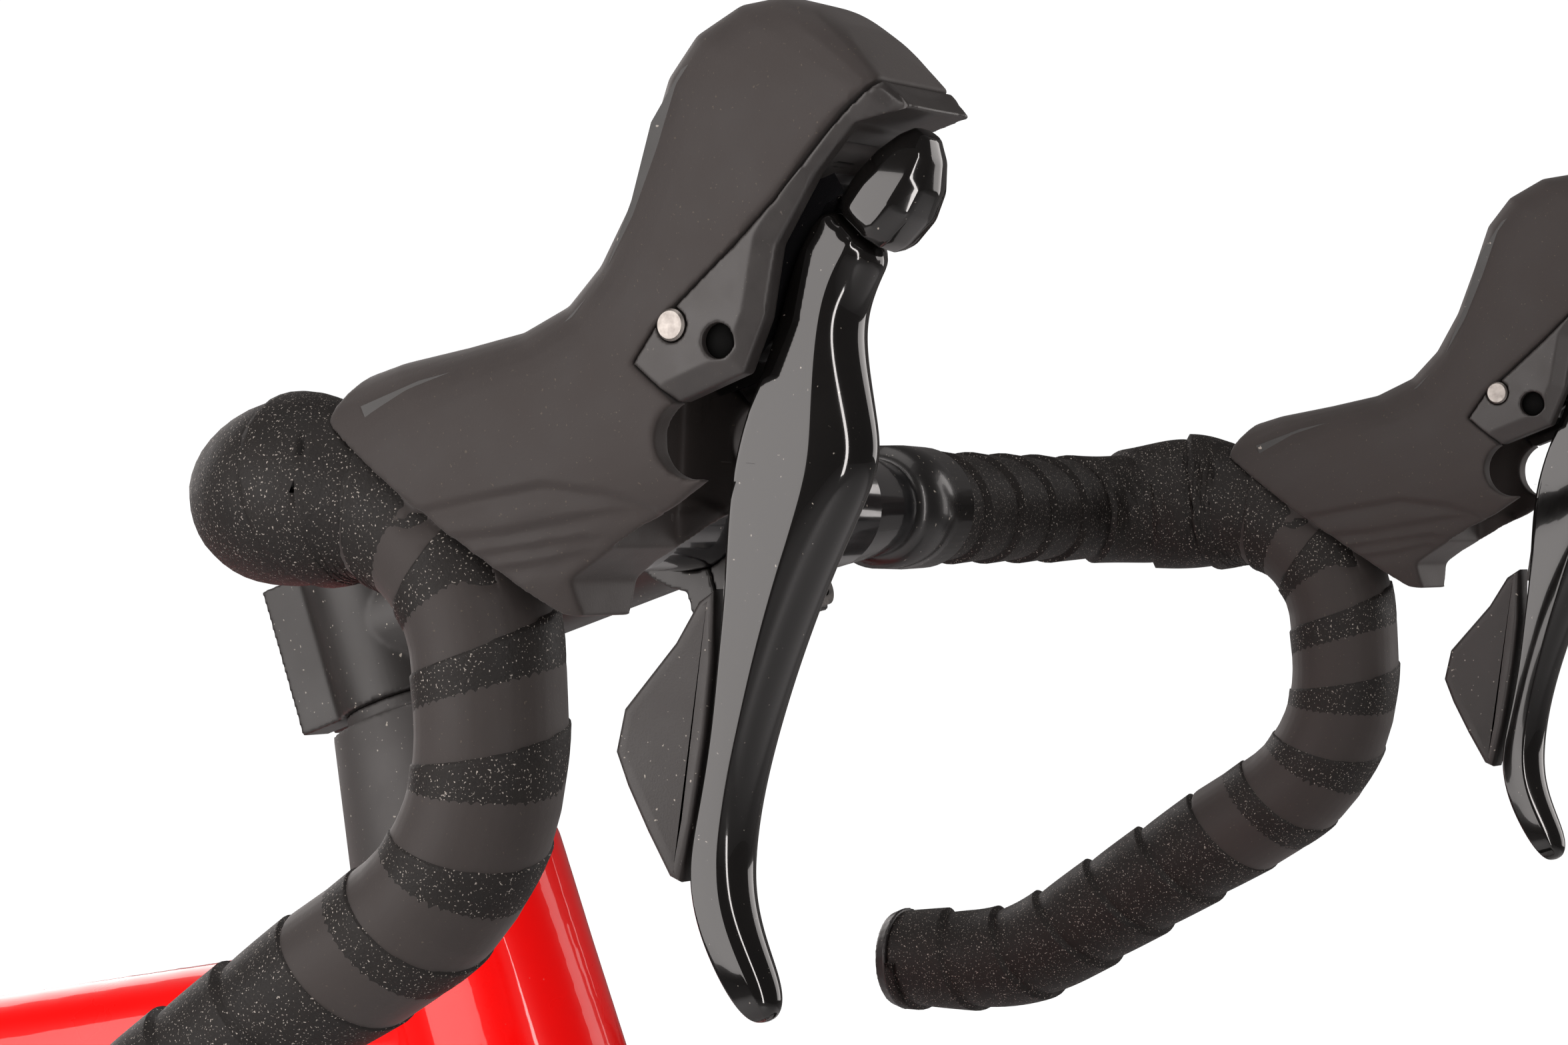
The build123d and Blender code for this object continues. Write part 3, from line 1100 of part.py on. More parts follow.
hanger_face = -REAR_HUB_HALF - DROPOUT_THICKNESS
knuckle = axle(HANGER, hanger_face - 0.02, hanger_face - 13, 10)
knuckle += axle(HANGER, hanger_face - 1, -REAR_HUB_HALF, 5.0 - SEAT_GAP)
knuckle += ears(b_pivot)
for end in (-1, 1):
    ear_mid = b_pivot + pivot_line * (end * (LINK_EYE_HALF + LINK_SIDE_GAP + EAR_WIDTH / 2))
    back = ear_mid + Vector(*KNUCKLE_ARM)
    knuckle += rod(tuple(ear_mid), tuple(back), ARM_THIN)
    knuckle += rod(tuple(back), (HANGER[0] + end * 3, hanger_face - 8, HANGER[1] - 4), ARM_THICK)
write(knuckle, "rear_derailleur_knuckle")

CAGE_INNER = 3.4
CAGE_PLATE = 1.4
CAGE_PIVOT_RADIUS = 4.0
boss_out = CHAIN_PLANE - 13.0
boss_in = CHAIN_PLANE - 6.2
arm = axle(GUIDE, boss_out, boss_in, 9) + ears(p_pivot)
for end in (-1, 1):
    ear_mid = p_pivot + pivot_line * (end * (LINK_EYE_HALF + LINK_SIDE_GAP + EAR_WIDTH / 2))
    low = ear_mid + Vector(*BODY_ARM)
    arm += rod(tuple(ear_mid), tuple(low), ARM_THIN)
    arm += rod(tuple(low), (GUIDE[0] + 4 * end, boss_out + 2, GUIDE[1] - 4), ARM_THICK)
arm -= axle(GUIDE, boss_out - 3, boss_in + 1, CAGE_PIVOT_RADIUS + RUNNING)
write(largest(arm), "rear_derailleur_body")

cage_out = strap(GUIDE, 12, TENSION, 11, CHAIN_PLANE - CAGE_INNER - CAGE_PLATE, CHAIN_PLANE - CAGE_INNER)
cage_in = strap(GUIDE, 12, TENSION, 11, CHAIN_PLANE + CAGE_INNER, CHAIN_PLANE + CAGE_INNER + CAGE_PLATE)
cage = cage_out + cage_in
for centre in (GUIDE, TENSION):
    cage += axle(centre, CHAIN_PLANE - CAGE_INNER, CHAIN_PLANE + CAGE_INNER, 3)
cage += axle(GUIDE, boss_out, CHAIN_PLANE - CAGE_INNER, CAGE_PIVOT_RADIUS)
write(cage, "rear_derailleur_cage")
for name, centre in (("guide_pulley", GUIDE), ("tension_pulley", TENSION)):
    write(sprocket(centre, PULLEY_TEETH, CHAIN_PLANE, 1.9, phases[centre], 3 + RUNNING), name)

# ---------------------------------------------------------------- front derailleur
FD_RADIUS = pitch_radius(OUTER_RING_TEETH) + TOOTH_TIP + 5.5
FD_HEIGHT = 14.0
FD_PIVOT_Y = -33.0
FD_PIVOT_RADIUS = 2.0


def arc_plate(y_from, y_to, low, high, start, end):
    """Part of a ring about the bottom bracket, between two angles in degrees."""
    ring = axle(BB, y_from, y_to, high) - axle(BB, y_from - 1, y_to + 1, low)
    far = high * 2
    corners = [(BB[0], BB[1])]
    for step in range(4):
        angle = math.radians(between(start, end, step / 3))
        corners.append((BB[0] + far * math.cos(angle), BB[1] + far * math.sin(angle)))
    return ring & plate(corners, y_from - 2, y_to + 2)


fd_high = FD_RADIUS + FD_HEIGHT
fd_cage = arc_plate(CHAIN_PLANE + 4.2, CHAIN_PLANE + 5.4, FD_RADIUS, fd_high, 96, 134)
fd_cage += arc_plate(CHAIN_PLANE - 5.4, CHAIN_PLANE - 4.2, FD_RADIUS, fd_high, 96, 134)
fd_cage += arc_plate(CHAIN_PLANE - 5.4, CHAIN_PLANE + 5.4, fd_high - 1.5, fd_high, 96, 112)
fd_top = math.radians(104)
fd_pivot = (BB[0] + (fd_high + 12) * math.cos(fd_top), BB[1] + (fd_high + 12) * math.sin(fd_top))
fd_cage += rod((fd_pivot[0] - 7, FD_PIVOT_Y, fd_pivot[1]), (fd_pivot[0] + 7, FD_PIVOT_Y, fd_pivot[1]), 5)
fd_cage += plate([
    (fd_pivot[0] - 6, fd_pivot[1] - 14), (fd_pivot[0] + 6, fd_pivot[1] - 14), (fd_pivot[0] + 6, fd_pivot[1] - 8),
    (fd_pivot[0] - 6, fd_pivot[1] - 8),
], CHAIN_PLANE + 4.2, FD_PIVOT_Y - 3)
fd_cage += plate([
    (fd_pivot[0] - 6, fd_pivot[1] - 14), (fd_pivot[0] + 6, fd_pivot[1] - 14), (fd_pivot[0] + 6, fd_pivot[1]),
    (fd_pivot[0] - 6, fd_pivot[1]),
], FD_PIVOT_Y - 7, FD_PIVOT_Y - 3)
fd_cage -= rod(
    (fd_pivot[0] - 9, FD_PIVOT_Y, fd_pivot[1]), (fd_pivot[0] + 9, FD_PIVOT_Y, fd_pivot[1]),
    FD_PIVOT_RADIUS + RUNNING,
)
write(largest(fd_cage), "front_derailleur_cage")
fd_body = rod(
    (fd_pivot[0] - 12, FD_PIVOT_Y, fd_pivot[1]), (fd_pivot[0] + 12, FD_PIVOT_Y, fd_pivot[1]), FD_PIVOT_RADIUS
)
for end in (-1, 1):
    near, far = sorted((fd_pivot[0] + end * 7.5, fd_pivot[0] + end * 12))
    fd_body += plate([
        (near, fd_pivot[1] - 4), (far, fd_pivot[1] - 4), (far, fd_pivot[1] + 9), (near, fd_pivot[1] + 9),
    ], FD_PIVOT_Y - 4, FD_PIVOT_Y + 6)
fd_body += plate([
    (fd_pivot[0] - 12, fd_pivot[1] - 4), (fd_pivot[0] + 12, fd_pivot[1] - 4),
    (fd_pivot[0] + 12, fd_pivot[1] + 9), (fd_pivot[0] - 12, fd_pivot[1] + 9),
], FD_PIVOT_Y + 6, -6)
fd_body -= seat_outer
write(largest(fd_body), "front_derailleur_body")
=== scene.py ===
import json
import math

import bmesh
import bpy
from mathutils import Matrix, Vector


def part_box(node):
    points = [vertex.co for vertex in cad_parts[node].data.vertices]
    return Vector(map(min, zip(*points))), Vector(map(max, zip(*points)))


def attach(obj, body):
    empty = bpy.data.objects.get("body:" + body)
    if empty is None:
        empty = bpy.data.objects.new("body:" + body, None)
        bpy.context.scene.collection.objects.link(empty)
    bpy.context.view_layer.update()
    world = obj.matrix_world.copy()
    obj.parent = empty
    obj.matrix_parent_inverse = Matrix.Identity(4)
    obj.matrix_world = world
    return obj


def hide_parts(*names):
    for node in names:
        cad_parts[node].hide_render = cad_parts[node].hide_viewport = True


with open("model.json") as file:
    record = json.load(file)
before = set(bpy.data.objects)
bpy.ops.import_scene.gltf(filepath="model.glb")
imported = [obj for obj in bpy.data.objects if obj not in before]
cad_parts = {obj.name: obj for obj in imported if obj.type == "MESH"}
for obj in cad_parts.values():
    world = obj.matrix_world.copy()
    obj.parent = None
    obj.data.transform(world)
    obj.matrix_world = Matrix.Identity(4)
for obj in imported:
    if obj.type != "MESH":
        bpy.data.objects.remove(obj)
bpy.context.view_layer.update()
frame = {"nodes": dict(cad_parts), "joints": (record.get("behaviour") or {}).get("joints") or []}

# ---------------------------------------------------------------- studio and camera
# A photographer's table for the bicycle: a wide pale floor, a white surround, and large soft
# boxes round the right-hand lever, whose reflections draw the edges of its black paint.
CAMERA_PLACE = Vector((0.8996, -0.8365, 0.8850))
CAMERA_HEADING = math.radians(30.856)
CAMERA_PITCH = math.radians(1.534)
CAMERA_ROLL = math.radians(-2.4)
LENS = 91.0
SENSOR = 36.0
FLOOR_HALF = 3.2
LIGHT_WARMTH = (1.0, 0.95, 0.93)
SURROUND_SEEN = (1.0, 1.0, 1.0)
SURROUND_SEEN_STRENGTH = 1.05
SURROUND_CAST = (1.0, 0.93, 0.91)
SURROUND_CAST_STRENGTH = 0.13
LEVER_MIDDLE = Vector((0.525, -0.21, 0.90))

camera_data = bpy.data.cameras.new("studio_camera")
camera_data.lens = LENS
camera_data.sensor_width = SENSOR
camera_data.clip_start = 0.05
camera = bpy.data.objects.new("studio_camera", camera_data)
bpy.context.scene.collection.objects.link(camera)
ahead = Vector((
    -math.sin(CAMERA_HEADING) * math.cos(CAMERA_PITCH),
    math.cos(CAMERA_HEADING) * math.cos(CAMERA_PITCH),
    math.sin(CAMERA_PITCH),
))
level = Vector((math.cos(CAMERA_HEADING), math.sin(CAMERA_HEADING), 0))
upright = level.cross(ahead)
right = level * math.cos(CAMERA_ROLL) + upright * math.sin(CAMERA_ROLL)
up = upright * math.cos(CAMERA_ROLL) - level * math.sin(CAMERA_ROLL)
camera.matrix_world = Matrix((
    (right.x, up.x, -ahead.x, CAMERA_PLACE.x),
    (right.y, up.y, -ahead.y, CAMERA_PLACE.y),
    (right.z, up.z, -ahead.z, CAMERA_PLACE.z),
    (0, 0, 0, 1),
))
bpy.context.scene.camera = camera
bpy.context.scene.view_settings.view_transform = "Standard"


def softbox(name, heading, height, distance, width, tall, power):
    """Light on a stand, turned to the right-hand lever; heading 0 is straight ahead of the bicycle."""
    light = bpy.data.lights.new(name, "AREA")
    light.shape = "RECTANGLE"
    light.size = width
    light.size_y = tall
    light.energy = power
    light.color = LIGHT_WARMTH
    stand = bpy.data.objects.new(name, light)
    angle = math.radians(heading)
    away = Vector((math.cos(angle) * distance, math.sin(angle) * distance, height))
    stand.location = LEVER_MIDDLE + away
    stand.rotation_mode = "QUATERNION"
    stand.rotation_quaternion = (LEVER_MIDDLE - stand.location).to_track_quat("-Z", "Y")
    bpy.context.scene.collection.objects.link(stand)


softbox("side_softbox", heading=-121, height=0.28, distance=1.9, width=2.0, tall=1.5, power=38)
softbox("front_strip", heading=-42, height=0.10, distance=1.6, width=0.14, tall=1.5, power=11)
softbox("overhead_softbox", heading=-100, height=2.0, distance=0.5, width=1.8, tall=1.8, power=16)
softbox("rim_softbox", heading=55, height=0.35, distance=1.9, width=1.2, tall=1.4, power=15)
softbox("far_softbox", heading=150, height=0.6, distance=2.4, width=1.4, tall=1.4, power=16)

surround = bpy.data.worlds.new("white_surround")
surround.use_nodes = True
sky = surround.node_tree
sky.nodes.clear()
seen = sky.nodes.new("ShaderNodeBackground")
seen.inputs["Color"].default_value = (*SURROUND_SEEN, 1)
seen.inputs["Strength"].default_value = SURROUND_SEEN_STRENGTH
cast = sky.nodes.new("ShaderNodeBackground")
cast.inputs["Color"].default_value = (*SURROUND_CAST, 1)
cast.inputs["Strength"].default_value = SURROUND_CAST_STRENGTH
path = sky.nodes.new("ShaderNodeLightPath")
either = sky.nodes.new("ShaderNodeMixShader")
out = sky.nodes.new("ShaderNodeOutputWorld")
sky.links.new(path.outputs["Is Camera Ray"], either.inputs["Fac"])
sky.links.new(cast.outputs["Background"], either.inputs[1])
sky.links.new(seen.outputs["Background"], either.inputs[2])
sky.links.new(either.outputs["Shader"], out.inputs["Surface"])
bpy.context.scene.world = surround


def piece_from(name, bm, *materials):
    """Makes a finished bmesh a smooth-shaded piece that sits at the origin."""
    mesh = bpy.data.meshes.new(name)
    bm.to_mesh(mesh)
    bm.free()
    mesh.shade_smooth()
    piece = bpy.data.objects.new(name, mesh)
    bpy.context.scene.collection.objects.link(piece)
    for material in materials:
        mesh.materials.append(material)
    return piece


def socket(group, name, direction, kind="NodeSocketFloat", value=None):
    """Gives a node group a named input or output."""
    made = group.interface.new_socket(name=name, in_out=direction, socket_type=kind)
    if value is not None:
        made.default_value = value


# Handling wear shared by every finish: cloudy patches where the surface is rubbed, and dust motes.
handling = bpy.data.node_groups.new("handling_wear", "ShaderNodeTree")
socket(handling, "Position", "INPUT", "NodeSocketVector")
socket(handling, "Patch Scale", "INPUT", value=20.0)
socket(handling, "Mote Scale", "INPUT", value=900.0)
socket(handling, "Mote Share", "INPUT", value=0.1)
socket(handling, "Patches", "OUTPUT")
socket(handling, "Motes", "OUTPUT")
inside = handling.nodes
entry = inside.new("NodeGroupInput")
leave = inside.new("NodeGroupOutput")
clouds = inside.new("ShaderNodeTexNoise")
clouds.inputs["Detail"].default_value = 5.0
clouds.inputs["Roughness"].default_value = 0.62
motes = inside.new("ShaderNodeTexNoise")
motes.inputs["Detail"].default_value = 1.0
motes.inputs["Roughness"].default_value = 0.4
threshold = inside.new("ShaderNodeMath")
threshold.operation = "SUBTRACT"
threshold.inputs[0].default_value = 0.82
pick = inside.new("ShaderNodeMath")
pick.operation = "SUBTRACT"
sharpen = inside.new("ShaderNodeMath")
sharpen.operation = "MULTIPLY"
sharpen.inputs[1].default_value = 16.0
sharpen.use_clamp = True
spread = inside.new("ShaderNodeMapRange")
spread.inputs["From Min"].default_value = 0.34
spread.inputs["From Max"].default_value = 0.68
join = handling.links.new
join(entry.outputs["Position"], clouds.inputs["Vector"])
join(entry.outputs["Patch Scale"], clouds.inputs["Scale"])
join(entry.outputs["Position"], motes.inputs["Vector"])
join(entry.outputs["Mote Scale"], motes.inputs["Scale"])
join(entry.outputs["Mote Share"], threshold.inputs[1])
join(motes.outputs["Fac"], pick.inputs[0])
join(threshold.outputs["Value"], pick.inputs[1])
join(pick.outputs["Value"], sharpen.inputs[0])
join(clouds.outputs["Fac"], spread.inputs["Value"])
join(spread.outputs["Result"], leave.inputs["Patches"])
join(sharpen.outputs["Value"], leave.inputs["Motes"])

# Fine relief shared by every finish: pores or brushing, stretched along an axis if the tool ran so.
relief = bpy.data.node_groups.new("fine_relief", "ShaderNodeTree")
socket(relief, "Position", "INPUT", "NodeSocketVector")
socket(relief, "Stretch", "INPUT", "NodeSocketVector", (1.0, 1.0, 1.0))
socket(relief, "Scale", "INPUT", value=800.0)
socket(relief, "Height", "OUTPUT")
inside = relief.nodes
entry = inside.new("NodeGroupInput")
leave = inside.new("NodeGroupOutput")
pull = inside.new("ShaderNodeVectorMath")
pull.operation = "MULTIPLY"
pores = inside.new("ShaderNodeTexNoise")
pores.inputs["Detail"].default_value = 3.0
pores.inputs["Roughness"].default_value = 0.55
join = relief.links.new
join(entry.outputs["Position"], pull.inputs[0])
join(entry.outputs["Stretch"], pull.inputs[1])
join(pull.outputs["Vector"], pores.inputs["Vector"])
join(entry.outputs["Scale"], pores.inputs["Scale"])
join(pores.outputs["Fac"], leave.inputs["Height"])


def finish(name, colour, rubbed, roughness, rough_swing=0.12, metallic=0.0, specular=0.5, sheen=0.0,
           coat=0.0, coat_roughness=0.04, patch_scale=22.0, mote_scale=900.0, mote_share=0.10,
           mote_colour=(0.35, 0.32, 0.28), relief_scale=800.0, relief_depth=0.00005,
           stretch=(1.0, 1.0, 1.0)):
    """A finish whose colour goes to a rubbed one in patches, with dust motes and a fine relief."""
    material = bpy.data.materials.new(name)
    material.use_nodes = True
    tree = material.node_tree
    shader = tree.nodes["Principled BSDF"]
    place = tree.nodes.new("ShaderNodeTexCoord")
    wear = tree.nodes.new("ShaderNodeGroup")
    wear.node_tree = handling
    wear.inputs["Patch Scale"].default_value = patch_scale
    wear.inputs["Mote Scale"].default_value = mote_scale
    wear.inputs["Mote Share"].default_value = mote_share
    grain = tree.nodes.new("ShaderNodeGroup")
    grain.node_tree = relief
    grain.inputs["Scale"].default_value = relief_scale
    grain.inputs["Stretch"].default_value = stretch
    tone = tree.nodes.new("ShaderNodeMix")
    tone.name = "tone"
    tone.data_type = "RGBA"
    tone.inputs["A"].default_value = (*colour, 1)
    tone.inputs["B"].default_value = (*rubbed, 1)
    dusted = tree.nodes.new("ShaderNodeMix")
    dusted.name = "dusted"
    dusted.data_type = "RGBA"
    dusted.inputs["B"].default_value = (*mote_colour, 1)
    gloss = tree.nodes.new("ShaderNodeMapRange")
    gloss.name = "gloss"
    gloss.inputs["To Min"].default_value = max(0.02, roughness - rough_swing / 2)
    gloss.inputs["To Max"].default_value = roughness + rough_swing / 2
    bump = tree.nodes.new("ShaderNodeBump")
    bump.name = "bump"
    bump.inputs["Strength"].default_value = 0.6
    bump.inputs["Distance"].default_value = relief_depth
    shader.inputs["Metallic"].default_value = metallic
    shader.inputs["Coat Weight"].default_value = coat
    shader.inputs["Coat Roughness"].default_value = coat_roughness
    shader.inputs["Specular IOR Level"].default_value = specular
    shader.inputs["Sheen Weight"].default_value = sheen
    link = tree.links.new
    link(place.outputs["Object"], wear.inputs["Position"])
    link(place.outputs["Object"], grain.inputs["Position"])
    link(wear.outputs["Patches"], tone.inputs["Factor"])
    link(tone.outputs["Result"], dusted.inputs["A"])
    link(wear.outputs["Motes"], dusted.inputs["Factor"])
    link(dusted.outputs["Result"], shader.inputs["Base Color"])
    link(wear.outputs["Patches"], gloss.inputs["Value"])
    link(gloss.outputs["Result"], shader.inputs["Roughness"])
    link(grain.outputs["Height"], bump.inputs["Height"])
    link(bump.outputs["Normal"], shader.inputs["Normal"])
    return material


floor_paint = finish("pale_floor", (0.86, 0.86, 0.87), (0.82, 0.82, 0.83), 0.6, patch_scale=1.5,
                     mote_scale=60.0, mote_share=0.02, relief_scale=90.0, relief_depth=0.0002)
bm = bmesh.new()
bmesh.ops.create_grid(bm, x_segments=8, y_segments=8, size=FLOOR_HALF)
floor = piece_from("studio_floor", bm, floor_paint)


# ---------------------------------------------------------------- frame
# The painted frame: round and tapered tubes laid up as one shell, flowing into each other at the
# joints, in clear-coated red.
JOINTS = {joint["name"]: joint for joint in frame["joints"]}
FORWARD = Vector((1, 0, 0))
SIDEWAYS = Vector((0, 1, 0))
UPWARD = Vector((0, 0, 1))
STEER_FOOT = Vector(JOINTS["steering"]["pos_m"])
STEER_UP = Vector(JOINTS["steering"]["axis"]).normalized()
STEER_FRONT = Vector((STEER_UP.z, 0, -STEER_UP.x))
BOTTOM_BRACKET = Vector(JOINTS["crank_spin"]["pos_m"])
REAR_AXLE = Vector(JOINTS["rear_wheel_spin"]["pos_m"])
FRONT_AXLE = Vector(JOINTS["front_wheel_spin"]["pos_m"])
SEAT_UP = Vector(JOINTS["saddle_height"]["axis"]).normalized()
HEAD_LOW = 0.3714
HEAD_HIGH = 0.5314
SEAT_TUBE_TOP = 0.520
SHELL_HALF = 0.0338
DROPOUT_ACROSS = 0.0745
DROPOUT_HALF = 0.0034
FRAME_VOXEL = 0.0021


def ring(bm, centre, across, upward, half_across, half_up, count=24, boxy=2.0):
    """One closed section for a loft: an ellipse that squares up as boxy grows past 2."""
    points = bmesh.ops.create_circle(bm, segments=count, radius=1.0)["verts"]
    for point in points:
        turn = math.atan2(point.co.y, point.co.x)
        cos, sin = math.cos(turn), math.sin(turn)
        wide = math.copysign(abs(cos) ** (2 / boxy), cos) * half_across
        high = math.copysign(abs(sin) ** (2 / boxy), sin) * half_up
        point.co = centre + across * wide + upward * high
    return points


def edges_of(points):
    """The edges that run between some points."""
    held = set(points)
    return list({e for p in points for e in p.link_edges if e.other_vert(p) in held})


def loft(bm, rings):
    """Skins a row of rings with as many points each, and closes both ends."""
    for near, far in zip(rings, rings[1:]):
        bmesh.ops.bridge_loops(bm, edges=edges_of(near) + edges_of(far))
    for end in (rings[0], rings[-1]):
        bmesh.ops.holes_fill(bm, edges=edges_of(end), sides=0)
    bmesh.ops.recalc_face_normals(bm, faces=bm.faces)


def tube(bm, points, sizes, count=24, boxy=2.0, side=SIDEWAYS):
    """Tapered tube along a few points; each size is half across the bicycle and half in its plane."""
    rings = []
    for index, point in enumerate(points):
        before = points[max(index - 1, 0)]
        after = points[min(index + 1, len(points) - 1)]
        run = (after - before).normalized()
        upward = run.cross(side).normalized()
        across = upward.cross(run).normalized()
        rings.append(ring(bm, point, across, upward, *sizes[index], count=count, boxy=boxy))
    loft(bm, rings)


def rod(bm, start, end, radius, count=32):
    """Plain round bar that lies across the bicycle."""
    tube(bm, [start, end], [(radius, radius)] * 2, count=count, side=FORWARD)


def settle(piece):
    """Turns a piece's modifiers into its own mesh."""
    graph = bpy.context.evaluated_depsgraph_get()
    done = bpy.data.meshes.new_from_object(piece.evaluated_get(graph))
    piece.modifiers.clear()
    piece.data = done


def mould(piece, voxel, rounds, factor=0.5):
    """Melts a piece's overlapping solids into one skin with softened corners."""
    skin = piece.modifiers.new("skin", "REMESH")
    skin.mode = "VOXEL"
    skin.voxel_size = voxel
    skin.use_smooth_shade = True
    soften = piece.modifiers.new("soften", "SMOOTH")
    soften.factor = factor
    soften.iterations = rounds
    settle(piece)
    piece.data.shade_smooth()


def on_column(height, forward=0.0, across=0.0):
    """A point at a height up the steering axis, in front of it and across the bicycle."""
    return STEER_FOOT + STEER_UP * height + STEER_FRONT * forward + SIDEWAYS * across


def on_seat_line(distance, across=0.0):
    """A point at a distance up the seat tube's line from the cranks, and across the bicycle."""
    return BOTTOM_BRACKET + SEAT_UP * distance + SIDEWAYS * across


frame_red = finish("frame_red", (1.0, 0.0, 0.0), (0.94, 0.0, 0.0), 0.30, rough_swing=0.08, specular=0.15,
                   coat=0.6, coat_roughness=0.03, mote_scale=420.0, mote_share=0.03,
                   mote_colour=(0.8, 0.2, 0.18), relief_scale=260.0, relief_depth=0.00001)
bm = bmesh.new()
tube(bm, [on_column(h) for h in (HEAD_LOW, 0.400, 0.450, 0.500, HEAD_HIGH)],
     [(0.0305, 0.0310), (0.0290, 0.0305), (0.0265, 0.0300), (0.0262, 0.0285), (0.0272, 0.0275)], count=40)
top_front = on_column(HEAD_HIGH - 0.040)
top_rear = on_seat_line(SEAT_TUBE_TOP - 0.032)
tube(bm, [top_front, top_front.lerp(top_rear, 0.16), top_front.lerp(top_rear, 0.5),
          top_front.lerp(top_rear, 0.86), top_rear],
     [(0.0200, 0.0245), (0.0185, 0.0190), (0.0165, 0.0158), (0.0150, 0.0148), (0.0150, 0.0150)], boxy=2.3)
down_top = on_column(HEAD_LOW + 0.046)
tube(bm, [down_top, down_top.lerp(BOTTOM_BRACKET, 0.14), down_top.lerp(BOTTOM_BRACKET, 0.5),
          down_top.lerp(BOTTOM_BRACKET, 0.88), BOTTOM_BRACKET],
     [(0.0245, 0.0300), (0.0230, 0.0250), (0.0220, 0.0225), (0.0235, 0.0220), (0.0250, 0.0220)], boxy=2.4)
tube(bm, [BOTTOM_BRACKET, on_seat_line(0.09), on_seat_line(0.40), on_seat_line(SEAT_TUBE_TOP)],
     [(0.0230, 0.0190), (0.0172, 0.0165), (0.0165, 0.0165), (0.0165, 0.0165)])
rod(bm, BOTTOM_BRACKET - SIDEWAYS * SHELL_HALF, BOTTOM_BRACKET + SIDEWAYS * SHELL_HALF, 0.0250, count=40)
for side in (-1, 1):
    end = REAR_AXLE + SIDEWAYS * side * DROPOUT_ACROSS
    tube(bm, [BOTTOM_BRACKET + Vector((-0.008, side * 0.024, 0.002)),
              BOTTOM_BRACKET.lerp(REAR_AXLE, 0.25) + SIDEWAYS * side * 0.029,
              BOTTOM_BRACKET.lerp(REAR_AXLE, 0.60) + SIDEWAYS * side * 0.052,
              end + Vector((0.012, 0, -0.002))],
         [(0.0080, 0.0105), (0.0070, 0.0100), (0.0066, 0.0082), (0.0050, 0.0066)], count=20)
    crown = on_seat_line(SEAT_TUBE_TOP - 0.078, side * 0.012)
    foot = end + Vector((0.003, 0, 0.012))
    tube(bm, [crown, crown.lerp(foot, 0.06) + SIDEWAYS * side * 0.010,
              crown.lerp(foot, 0.22) + SIDEWAYS * side * 0.008, crown.lerp(foot, 0.6), foot],
         [(0.0080, 0.0090), (0.0072, 0.0082), (0.0066, 0.0074), (0.0058, 0.0064), (0.0046, 0.0056)], count=20)
    rod(bm, end - SIDEWAYS * DROPOUT_HALF, end + SIDEWAYS * DROPOUT_HALF, 0.0150)
hanger = REAR_AXLE + Vector((0.006, -DROPOUT_ACROSS, -0.030))
tube(bm, [REAR_AXLE - SIDEWAYS * DROPOUT_ACROSS, hanger], [(0.0034, 0.0130), (0.0034, 0.0110)], boxy=4.0)
painted_frame = piece_from("painted_frame", bm, frame_red)
mould(painted_frame, voxel=FRAME_VOXEL, rounds=5)
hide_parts("head_tube", "top_tube", "down_tube", "seat_tube", "bottom_bracket_shell",
            "chainstays", "seatstays")
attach(painted_frame, "frame")


# ---------------------------------------------------------------- shared ways of working a CAD part
# Forged, cast and machined parts whose CAD shape is right keep it, with their sharp corners broken
# as a tumbler or a mould would break them.
MERGE_DISTANCE = 1e-6


def softened(name, body, material, nodes, voxel, rounds=2):
    """A copy of some CAD parts of one finish, with its corners softened, standing for them."""
    bm = bmesh.new()
    for node in nodes:
        bm.from_mesh(frame["nodes"][node].data)
    bmesh.ops.remove_doubles(bm, verts=bm.verts, dist=MERGE_DISTANCE)
    piece = piece_from(name, bm)
    mould(piece, voxel, rounds)
    piece.data.materials.clear()
    piece.data.materials.append(material)
    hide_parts(*nodes)
    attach(piece, body)
    return piece


def dress(material, *nodes):
    """Gives CAD nodes that stay as they are a finish."""
    for node in nodes:
        mesh = frame["nodes"][node].data
        mesh.materials.clear()
        mesh.materials.append(material)


black_alloy = finish("black_alloy", (0.012, 0.012, 0.013), (0.022, 0.021, 0.021), 0.40, coat=0.15,
                     coat_roughness=0.3, mote_share=0.08, relief_scale=1600.0, relief_depth=0.00002)
gloss_alloy = finish("gloss_alloy", (0.006, 0.006, 0.007), (0.010, 0.010, 0.011), 0.16, coat=0.8,
                     relief_scale=900.0, relief_depth=0.000004, mote_share=0.05)
grey_alloy = finish("grey_alloy", (0.32, 0.32, 0.33), (0.24, 0.24, 0.25), 0.34, metallic=1.0,
                    relief_scale=700.0, relief_depth=0.00002, stretch=(1.0, 8.0, 1.0))
bright_steel = finish("bright_steel", (0.56, 0.55, 0.53), (0.44, 0.43, 0.41), 0.26, metallic=1.0,
                      relief_scale=900.0, relief_depth=0.00002, stretch=(1.0, 1.0, 6.0), mote_share=0.06)
chain_steel = finish("chain_steel", (0.36, 0.35, 0.33), (0.10, 0.09, 0.075), 0.34, metallic=1.0,
                     patch_scale=160.0, mote_share=0.02, relief_scale=1100.0, relief_depth=0.00002)
bolt_steel = finish("bolt_steel", (0.05, 0.05, 0.052), (0.16, 0.15, 0.14), 0.34, metallic=0.9,
                    patch_scale=240.0, relief_scale=1500.0, relief_depth=0.00002)
carbon_black = finish("carbon_black", (0.010, 0.010, 0.011), (0.017, 0.017, 0.018), 0.32, coat=0.5,
                      coat_roughness=0.18, relief_scale=420.0, relief_depth=0.00001, mote_share=0.05)
